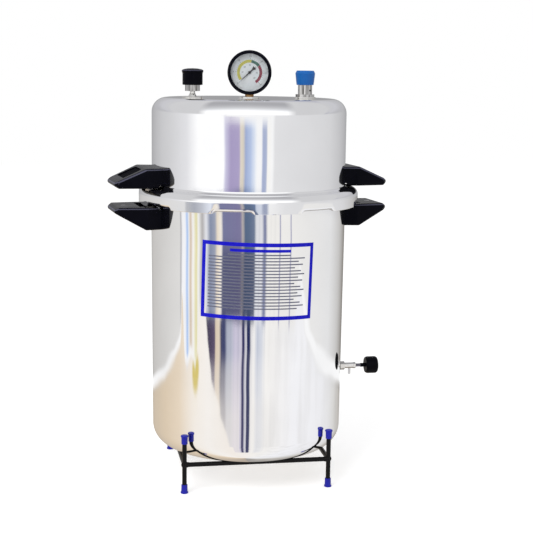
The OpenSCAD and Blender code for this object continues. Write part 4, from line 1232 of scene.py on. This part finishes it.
@dataclass
class Studio:
    """Floor, lamp, mirrored room and camera.

    The room is painted by direction, in degrees: a turn is 0 towards the camera and grows to the camera's
    right, and a rise is the height above the horizon. A span says where a change starts and ends. A reach
    says where a mark's middle is, how far it is full and how far away it ends. A noise says its scale and
    its detail.
    """

    camera_at: Place = (-0.5000, -1.8509, 0.6375)
    heading: float = -16.0
    pitch: float = 9.23
    roll: float = 0.745
    focal: float = 1242.1
    width_px: float = 533.0
    sensor: float = 36.0
    near_clip: float = 0.05
    floor_half: float = 6.0
    floor_grey: float = 0.86
    floor_roughness: float = 0.9
    floor_glow: float = 0.42
    sky: float = 0.72
    lamp_at: Place = (-2.2, -2.0, 2.6)
    lamp_aim: Place = (0.0, 0.0, 0.35)
    lamp_size: float = 1.8
    lamp_power: float = 60.0

    WHITE: ClassVar[Colour] = (1.0, 1.0, 1.0)
    # Tones by turn: what the lid, the skirt and the vessel mirror
    LID_LOOK: ClassVar[tuple[Stop, ...]] = (
        (-180, (0.34, 0.34, 0.35)), (-162, (0.42, 0.42, 0.43)), (-140, (0.53, 0.53, 0.54)),
        (-120, (0.63, 0.63, 0.64)), (-100, (0.70, 0.70, 0.71)), (-76, (0.82, 0.82, 0.84)),
        (-60, (1.1, 1.1, 1.1)), (-28, (1.1, 1.1, 1.1)), (-26, (0.66, 0.64, 0.82)),
        (-20, (0.42, 0.36, 0.58)), (-10, (0.44, 0.38, 0.60)), (-8.5, (0.78, 0.72, 0.62)),
        (-5, (0.72, 0.66, 0.56)), (-3, (0.36, 0.44, 0.68)), (3, (0.52, 0.62, 0.84)),
        (9, (0.84, 0.89, 0.97)), (11, (1.0, 1.0, 1.0)), (15.5, (0.98, 0.98, 0.99)),
        (17, (0.40, 0.46, 0.66)), (21, (0.44, 0.50, 0.68)), (22.5, (1.0, 0.98, 0.94)),
        (28, (1.0, 1.0, 1.0)), (31, (0.81, 0.81, 0.82)), (70, (0.77, 0.77, 0.78)),
        (110, (0.71, 0.71, 0.72)), (140, (0.55, 0.55, 0.56)), (162, (0.42, 0.42, 0.43)),
        (180, (0.34, 0.34, 0.35)))
    SKIRT_LOOK: ClassVar[tuple[Stop, ...]] = (
        (-180, (0.36, 0.36, 0.36)), (-150, (0.60, 0.59, 0.58)), (-88, (0.76, 0.75, 0.74)),
        (-67, (0.80, 0.80, 0.80)), (-65.5, (0.52, 0.53, 0.56)), (-56, (0.42, 0.44, 0.50)),
        (-48, (0.54, 0.56, 0.62)), (-38, (0.80, 0.84, 0.92)), (-33, (0.48, 0.50, 0.60)),
        (-29, (0.16, 0.17, 0.30)), (-8, (0.17, 0.18, 0.31)), (-6, (0.58, 0.54, 0.48)),
        (-4, (0.11, 0.16, 0.30)), (7.5, (0.15, 0.21, 0.35)), (10, (0.64, 0.69, 0.80)),
        (14.5, (0.68, 0.72, 0.82)), (16, (0.34, 0.38, 0.52)), (20, (0.38, 0.42, 0.55)),
        (22, (0.94, 0.94, 0.94)), (40, (0.80, 0.80, 0.81)), (115, (0.74, 0.74, 0.75)),
        (140, (0.58, 0.57, 0.56)), (162, (0.32, 0.31, 0.30)), (180, (0.26, 0.25, 0.24)))
    BODY_LOOK: ClassVar[tuple[Stop, ...]] = (
        (-180, (0.40, 0.39, 0.38)), (-150, (0.60, 0.585, 0.565)), (-86, (0.78, 0.77, 0.75)),
        (-84.3, (0.42, 0.42, 0.45)), (-82.5, (0.97, 0.97, 0.98)), (-77.5, (0.96, 0.97, 1.0)),
        (-74.8, (0.34, 0.54, 0.92)), (-72.3, (0.97, 0.97, 0.97)), (-69.8, (0.66, 0.50, 0.34)),
        (-66.5, (1.0, 1.0, 1.0)), (-61.6, (0.80, 0.74, 0.36)), (-59, (0.97, 0.97, 0.95)),
        (-54, (0.46, 0.44, 0.43)), (-49, (0.86, 0.87, 0.91)), (-44, (0.25, 0.29, 0.41)),
        (-37.5, (0.36, 0.39, 0.49)), (-35, (0.86, 0.76, 0.62)), (-30, (0.97, 0.92, 0.84)),
        (-28.5, (0.20, 0.21, 0.36)), (-8, (0.22, 0.20, 0.36)), (-5, (0.60, 0.54, 0.48)),
        (-3.4, (0.10, 0.15, 0.25)), (8, (0.15, 0.20, 0.31)), (10, (0.80, 0.81, 0.84)),
        (17.5, (0.82, 0.82, 0.85)), (19, (0.20, 0.23, 0.38)), (21.5, (0.26, 0.28, 0.42)),
        (23, (0.94, 0.92, 0.88)), (115, (0.82, 0.82, 0.82)), (140, (0.60, 0.59, 0.575)),
        (162, (0.28, 0.26, 0.24)), (180, (0.20, 0.19, 0.18)))
    LID_START: ClassVar[Span] = (-2.9, -2.35)
    LID_BANDS: ClassVar[Reach] = (0.0, 24.0, 32.0)
    SKIRT_TOP: ClassVar[Span] = (-6.05, -5.75)
    BODY_TOP: ClassVar[Span] = (-7.3, -7.0)
    GLOOM_TONE: ClassVar[Colour] = (0.030, 0.036, 0.085)
    GLOOM_SHARE: ClassVar[float] = 0.60
    GLOOM_TOP: ClassVar[Span] = (-9.8, -8.7)
    GLOOM_REACH: ClassVar[Reach] = (-10.0, 18.0, 20.0)
    LINE_TONE: ClassVar[Colour] = (0.12, 0.13, 0.36)
    LINE_SHARE: ClassVar[float] = 0.6
    LINE_REACHES: ClassVar[tuple[Reach, ...]] = ((38.5, 0.4, 1.1), (52.0, 0.4, 1.1))
    # The white line above the floor's edge, on either side
    LEFT_LINE: ClassVar[Reach] = (0.25, 0.2, 0.45)
    LEFT_SIDE: ClassVar[Span] = (-70.0, -56.0)
    RIGHT_LINE: ClassVar[Reach] = (0.55, 0.25, 0.65)
    RIGHT_SIDE: ClassVar[Span] = (56.0, 70.0)

    # Tones by turn: the dark bands on the floor, and the floor
    LOW_LOOK: ClassVar[tuple[Stop, ...]] = (
        (-180, (1.0, 0.97, 0.93)), (-50, (1.0, 0.97, 0.93)), (-48.5, (0.05, 0.04, 0.08)),
        (-38, (0.12, 0.09, 0.16)), (-36.5, (0.76, 0.63, 0.49)), (-31.5, (0.80, 0.69, 0.56)),
        (-30.5, (0.03, 0.035, 0.11)), (-25, (0.07, 0.08, 0.18)), (-23, (0.44, 0.47, 0.57)),
        (-17, (0.52, 0.54, 0.64)), (-14, (0.64, 0.60, 0.74)), (-5.6, (0.64, 0.61, 0.72)),
        (-4.5, (0.02, 0.02, 0.10)), (-1.9, (0.03, 0.03, 0.13)), (-1.1, (0.80, 0.78, 0.82)),
        (0.1, (0.78, 0.78, 0.83)), (1.0, (0.012, 0.015, 0.09)), (4.2, (0.02, 0.03, 0.11)),
        (5.4, (0.92, 0.90, 0.89)), (10, (0.93, 0.92, 0.91)), (12.5, (0.64, 0.68, 0.78)),
        (18, (0.72, 0.75, 0.82)), (22, (0.96, 0.95, 0.94)), (30, (1.0, 0.99, 0.98)),
        (180, (1.0, 0.99, 0.98)))
    FLOOR_LOOK: ClassVar[tuple[Stop, ...]] = (
        (-180, (0.48, 0.41, 0.34)), (-150, (0.65, 0.55, 0.43)), (-115, (0.76, 0.63, 0.47)),
        (-88, (0.85, 0.72, 0.56)), (-64, (0.98, 0.92, 0.84)), (-46, (1.0, 0.96, 0.91)),
        (-20, (0.96, 0.90, 0.83)), (25, (0.97, 0.95, 0.92)), (60, (0.96, 0.96, 0.98)),
        (110, (0.90, 0.90, 0.92)), (135, (0.74, 0.73, 0.71)), (158, (0.46, 0.43, 0.39)),
        (180, (0.34, 0.32, 0.30)))
    WISP_TONE: ClassVar[Colour] = (0.72, 0.71, 0.70)
    WISP_SHARE: ClassVar[float] = 0.5
    WISP_STRETCH: ClassVar[float] = 2.0
    WISP_NOISE: ClassVar[Point] = (0.07, 3.0)
    WISP_SPAN: ClassVar[Span] = (0.45, 0.75)
    WISP_SIDE: ClassVar[Span] = (5.0, 20.0)
    DROP_TONE: ClassVar[Colour] = (0.68, 0.54, 0.07)
    DROP_SHARE: ClassVar[float] = 0.85
    DROP_AT: ClassVar[Point] = (-62.8, -14.8)
    DROP_HALF: ClassVar[Point] = (5.2, 1.15)
    DROP_EDGE: ClassVar[Span] = (0.5, 1.2)
    # How far below the horizon the floor begins, by turn
    FLOOR_EDGE: ClassVar[tuple[Point, ...]] = (
        (-180, -14.9), (-154, -14.95), (-117, -14.75), (-97, -14.15), (-88, -13.5), (-84.6, -13.2),
        (-83, -11.0), (-81, -11.8), (-79.3, -14.2), (-75, -14.6), (-70, -13.9), (-66, -14.2),
        (-63, -14.8), (-60.5, -13.4), (-57.5, -11.8), (-50, -12.0), (-47, -12.3), (36, -12.4),
        (60, -12.6), (64.5, -10.6), (70, -12.0), (77, -13.1), (93, -14.4), (115, -14.8), (141, -14.8),
        (180, -14.7))
    EDGE_SPAN: ClassVar[Span] = (-20.0, -10.0)
    EDGE_BLUR: ClassVar[Span] = (-0.25, 0.25)
    # The floor cuts into the dark bands from the left, slowly at first and then faster
    BAND_START: ClassVar[Span] = (-5.6, -4.4)
    BAND_REACH: ClassVar[float] = 43.9
    BAND_LEAST: ClassVar[float] = 9.0
    BAND_BENDS: ClassVar[tuple[Point, ...]] = ((-12.4, 2.7), (-15.3, 5.0))
    BAND_END: ClassVar[Span] = (20.0, 26.0)
    BAND_FADE: ClassVar[Span] = (-17.0, -13.8)
    BAND_FADED: ClassVar[float] = 0.40
    BAND_FOOT: ClassVar[Span] = (-50.0, -44.0)
    CORE_REACH: ClassVar[Reach] = (-1.0, 5.6, 7.0)
    CORE_SHARE: ClassVar[float] = 0.96
    STREAK_TONE: ClassVar[Colour] = (0.24, 0.26, 0.38)
    STREAK_SHARE: ClassVar[float] = 0.30
    STREAK_NOISE: ClassVar[Point] = (0.26, 3.0)
    STREAK_SPAN: ClassVar[Span] = (0.48, 0.70)
    STREAK_REACH: ClassVar[Reach] = (0.0, 26.0, 36.0)
    SWAY_NOISE: ClassVar[Point] = (16.0, 1.0)
    SWAY: ClassVar[float] = 0.5

    # Tones of the ceiling by the angle from the camera's side over the top
    CEILING_LOOK: ClassVar[tuple[Stop, ...]] = (
        (0, (0.95, 0.95, 0.96)), (14, (1.15, 1.15, 1.15)), (40, (1.12, 1.12, 1.12)),
        (50, (0.88, 0.89, 0.91)), (60, (0.70, 0.71, 0.73)), (72, (0.58, 0.58, 0.60)),
        (90, (0.46, 0.46, 0.48)), (108, (0.42, 0.42, 0.44)), (126, (0.48, 0.48, 0.50)),
        (142, (0.60, 0.60, 0.63)), (152, (0.62, 0.62, 0.65)), (165, (0.52, 0.52, 0.54)),
        (180, (0.50, 0.50, 0.51)))
    CEILING_START: ClassVar[Span] = (3.0, 9.0)
    SIDE_TONE: ClassVar[Colour] = (0.67, 0.67, 0.68)
    # Places across the view are shares of a direction here, not degrees
    SIDE_SHIFT: ClassVar[float] = 0.02
    SIDE_START: ClassVar[Span] = (0.44, 0.56)
    SIDE_END: ClassVar[Span] = (132.0, 150.0)
    BEAM_TONE: ClassVar[Colour] = (0.42, 0.42, 0.51)
    BEAM_REACH: ClassVar[Reach] = (148.0, 2.5, 4.0)
    BEAM_LEFT: ClassVar[Span] = (-1.02, -0.88)
    BEAM_RIGHT: ClassVar[Span] = (1.24, 1.42)
    BEHIND: ClassVar[float] = 1.001

    def axes(self) -> tuple[Vector, Vector]:
        """Returns the level directions to the camera's right and towards the camera."""
        right = level_axis(self.heading)
        return right, Vector((right.y, -right.x, 0.0))

    def camera(self) -> None:
        """Sets the camera where the photograph was taken from."""
        right, toward = self.axes()
        pitch, roll = math.radians(self.pitch), math.radians(self.roll)
        ahead = -toward * math.cos(pitch) - UP * math.sin(pitch)
        up = right.cross(ahead)
        across = right * math.cos(roll) + up * math.sin(roll)
        upright = up * math.cos(roll) - right * math.sin(roll)
        data = bpy.data.cameras.new("camera")
        data.sensor_width = self.sensor
        data.lens = self.sensor * self.focal / self.width_px
        data.clip_start = self.near_clip
        obj = bpy.data.objects.new("camera", data)
        turn = Matrix((across, upright, -ahead)).transposed().to_4x4()
        obj.matrix_world = Matrix.Translation(self.camera_at) @ turn
        bpy.context.scene.collection.objects.link(obj)
        bpy.context.scene.camera = obj

    def floor(self) -> None:
        """Lays the pale floor, which keeps the soft shadow."""
        bm = plate(2 * self.floor_half, 2 * self.floor_half)
        mesh = bpy.data.meshes.new("floor")
        bm.to_mesh(mesh)
        bm.free()
        obj = bpy.data.objects.new("floor", mesh)
        bpy.context.scene.collection.objects.link(obj)
        obj.visible_glossy = False
        material = bpy.data.materials.new("floor_paper")
        material.use_nodes = True
        nodes = Nodes(material.node_tree)
        shader = material.node_tree.nodes["Principled BSDF"]
        shader.inputs["Base Color"].default_value = (*[self.floor_grey] * 3, 1.0)
        shader.inputs["Roughness"].default_value = self.floor_roughness
        shader.inputs["Specular IOR Level"].default_value = 0.0
        shader.inputs["Emission Color"].default_value = (*self.WHITE, 1.0)
        seen = nodes.add("ShaderNodeLightPath").outputs["Is Camera Ray"]
        glow = nodes.times(seen, self.floor_glow)
        material.node_tree.links.new(glow, shader.inputs["Emission Strength"])
        mesh.materials.append(material)

    def lamp(self) -> None:
        """Hangs one soft square lamp that points at the object."""
        data = bpy.data.lights.new("window", "AREA")
        data.size = self.lamp_size
        data.energy = self.lamp_power
        obj = bpy.data.objects.new("window", data)
        obj.location = self.lamp_at
        aim = Vector(self.lamp_aim) - Vector(self.lamp_at)
        obj.rotation_euler = aim.to_track_quat("-Z", "Y").to_euler()
        obj.visible_glossy = False
        bpy.context.scene.collection.objects.link(obj)

    @staticmethod
    def by_turn(nodes: Nodes, turn: Socket, stops: Sequence[Stop]) -> Socket:
        """Returns the tone of a row of stops at a turn."""
        share = nodes.rising(turn, (-180.0, 180.0))
        return nodes.ramp(share, [((deg + 180.0) / 360.0, tone) for deg, tone in stops])

    def walls(self, nodes: Nodes, turn: Socket, rise: Socket, above: Socket, streak: Socket) -> Socket:
        """Paints the room above its floor.

        Args:
            nodes: The world's node tree.
            turn: Direction round the horizon.
            rise: Height above the horizon.
            above: Height above the floor's edge.
            streak: Share of the fine dark streaks.

        Returns:
            The colour's socket: upright bands, one row for each of the lid, the skirt and the vessel.
        """
        start = nodes.times(nodes.rising(rise, self.LID_START), nodes.near(turn, *self.LID_BANDS))
        lid = nodes.mix(start, self.by_turn(nodes, turn, self.LID_LOOK), self.WHITE)
        skirt = self.by_turn(nodes, turn, self.SKIRT_LOOK)
        body = nodes.mix(streak, self.by_turn(nodes, turn, self.BODY_LOOK), self.STREAK_TONE)
        gloom = nodes.falling(rise, self.GLOOM_TOP, self.GLOOM_SHARE)
        body = nodes.mix(nodes.times(gloom, nodes.near(turn, *self.GLOOM_REACH)), body, self.GLOOM_TONE)
        for reach in self.LINE_REACHES:
            body = nodes.mix(nodes.times(nodes.near(turn, *reach), self.LINE_SHARE), body, self.LINE_TONE)
        wall = nodes.mix(nodes.falling(rise, self.SKIRT_TOP), lid, skirt)
        wall = nodes.mix(nodes.falling(rise, self.BODY_TOP), wall, body)
        left = nodes.times(nodes.near(above, *self.LEFT_LINE), nodes.falling(turn, self.LEFT_SIDE))
        right = nodes.times(nodes.near(above, *self.RIGHT_LINE), nodes.rising(turn, self.RIGHT_SIDE))
        return nodes.mix(nodes.math("MAXIMUM", left, right), wall, self.WHITE)

    def banded(self, nodes: Nodes, turn: Socket, rise: Socket) -> Socket:
        """Finds where the dark bands stand on the floor.

        Args:
            nodes: The world's node tree.
            turn: Direction round the horizon.
            rise: Height above the horizon.

        Returns:
            The share of the bands.
        """
        reach = self.BAND_REACH
        for bend, slope in self.BAND_BENDS:
            past = nodes.math("MINIMUM", nodes.math("SUBTRACT", rise, bend), 0.0)
            reach = nodes.math("ADD", nodes.times(past, slope), reach)
        inside = nodes.math("ADD", turn, nodes.math("MAXIMUM", reach, self.BAND_LEAST))
        wide = nodes.times(nodes.rising(inside, self.BAND_START), nodes.falling(turn, self.BAND_END))
        core = nodes.times(nodes.near(turn, *self.CORE_REACH), self.CORE_SHARE)
        fade = nodes.math("MAXIMUM", nodes.spread(rise, self.BAND_FADED, 1.0, *self.BAND_FADE), core)
        return nodes.times(nodes.times(wide, fade), nodes.rising(rise, self.BAND_FOOT))

    def ground(self, nodes: Nodes, turn: Socket, rise: Socket, streak: Socket) -> Socket:
        """Paints the room's floor, with the dark bands that stand on it.

        Args:
            nodes: The world's node tree.
            turn: Direction round the horizon.
            rise: Height above the horizon.
            streak: Share of the fine dark streaks.

        Returns:
            The colour's socket.
        """
        low = nodes.mix(streak, self.by_turn(nodes, turn, self.LOW_LOOK), self.STREAK_TONE)
        wisp = nodes.noise(nodes.join(X=turn, Y=nodes.times(rise, self.WISP_STRETCH)), *self.WISP_NOISE)
        wisp = nodes.rising(wisp, self.WISP_SPAN, self.WISP_SHARE)
        wisp = nodes.times(wisp, nodes.rising(turn, self.WISP_SIDE))
        floor = nodes.mix(wisp, self.by_turn(nodes, turn, self.FLOOR_LOOK), self.WISP_TONE)
        away = [nodes.math("POWER", nodes.math("DIVIDE", nodes.math("SUBTRACT", value, at), half), 2.0)
                for value, at, half in zip((turn, rise), self.DROP_AT, self.DROP_HALF)]
        drop = nodes.falling(nodes.math("ADD", *away), self.DROP_EDGE, self.DROP_SHARE)
        return nodes.mix(self.banded(nodes, turn, rise), nodes.mix(drop, floor, self.DROP_TONE), low)

    def ceiling(self, nodes: Nodes, across: Socket, nearer: Socket, height: Socket) -> Socket:
        """Paints the room's ceiling.

        Args:
            nodes: The world's node tree.
            across: Share of the direction to the camera's right.
            nearer: Share of the direction towards the camera.
            height: Share of the direction upwards.

        Returns:
            The colour's socket: a pale vault with a dark bow and one thin grey beam.
        """
        over = nodes.angle(height, nearer)
        vault = nodes.ramp(nodes.rising(over, (0.0, 180.0)),
                           [(deg / 180.0, tone) for deg, tone in self.CEILING_LOOK])
        aslant = nodes.math("DIVIDE", across, nodes.math("ADD", nearer, self.BEHIND))
        wide = nodes.math("ABSOLUTE", nodes.math("ADD", aslant, self.SIDE_SHIFT))
        outside = nodes.times(nodes.rising(wide, self.SIDE_START), nodes.falling(over, self.SIDE_END))
        length = nodes.times(nodes.rising(aslant, self.BEAM_LEFT), nodes.falling(aslant, self.BEAM_RIGHT))
        beam = nodes.times(nodes.near(over, *self.BEAM_REACH), length)
        return nodes.mix(beam, nodes.mix(outside, vault, self.SIDE_TONE), self.BEAM_TONE)

    def room(self, nodes: Nodes) -> Socket:
        """Paints the room in a mirrored direction.

        Args:
            nodes: The world's node tree.

        Returns:
            The colour's socket: banded walls, a pale floor and a ceiling.
        """
        ray = nodes.add("ShaderNodeTexCoord").outputs["Generated"]
        across, nearer = (nodes.vector("DOT_PRODUCT", ray, axis).outputs["Value"] for axis in self.axes())
        height = nodes.height(ray)
        rise = nodes.times(nodes.math("ARCSINE", height), math.degrees(1.0))
        straight = nodes.angle(across, nearer)
        sway = nodes.noise(nodes.join(Z=height), *self.SWAY_NOISE)
        turn = nodes.math("ADD", straight, nodes.spread(sway, -self.SWAY, self.SWAY))
        streak = nodes.noise(nodes.join(X=straight), *self.STREAK_NOISE)
        streak = nodes.rising(streak, self.STREAK_SPAN, self.STREAK_SHARE)
        streak = nodes.times(streak, nodes.near(straight, *self.STREAK_REACH))
        first, last = self.EDGE_SPAN
        greys = [(deg, ((at - first) / (last - first),) * 3) for deg, at in self.FLOOR_EDGE]
        edge = nodes.spread(self.by_turn(nodes, turn, greys), first, last, 0.0, 1.0)
        above = nodes.math("SUBTRACT", rise, edge)
        walls = self.walls(nodes, turn, rise, above, streak)
        ground = self.ground(nodes, turn, rise, streak)
        level = nodes.mix(nodes.falling(above, self.EDGE_BLUR), walls, ground)
        ceiling = self.ceiling(nodes, across, nearer, height)
        return nodes.mix(nodes.rising(rise, self.CEILING_START), level, ceiling)

    def surroundings(self) -> None:
        """Writes the world: white to the camera and through glass, the room to metal, plain light else."""
        world = bpy.data.worlds.new("studio")
        world.use_nodes = True
        bpy.context.scene.world = world
        nodes = Nodes(world.node_tree)
        world.node_tree.nodes.clear()
        paths = nodes.add("ShaderNodeLightPath").outputs
        plain, mirrored, white = (
            nodes.add("ShaderNodeBackground", {"Color": tone, "Strength": strength}).outputs[0]
            for tone, strength in (((*self.WHITE, 1.0), self.sky), (self.room(nodes), 1.0),
                                   ((*self.WHITE, 1.0), 1.0)))
        seen = nodes.math("MAXIMUM", paths["Is Camera Ray"], paths["Is Transmission Ray"])
        first = nodes.add("ShaderNodeMixShader", {0: paths["Is Glossy Ray"], 1: plain, 2: mirrored})
        last = nodes.add("ShaderNodeMixShader", {0: seen, 1: first.outputs[0], 2: white})
        nodes.add("ShaderNodeOutputWorld", {0: last.outputs[0]})

    def build(self) -> None:
        """Sets the whole studio and the plain view transform."""
        self.camera()
        self.floor()
        self.surroundings()
        self.lamp()
        bpy.context.scene.view_settings.view_transform = "Standard"


def main() -> None:
    """Builds the sub-assemblies in order, then the studio."""
    logging.basicConfig(level=logging.INFO, format="%(message)s")
    for name, node in frame["nodes"].items():
        node.data.materials[0] = FINISHES[SLOTS[name]].material()
    vessel = Vessel()
    for assembly in (Stand(), vessel, Panel(vessel), Lid(), Handles(), Valves(), Gauge(), DrainCock(),
                     Inside(), Studio()):
        assembly.build()


if __name__ == "__main__":
    main()
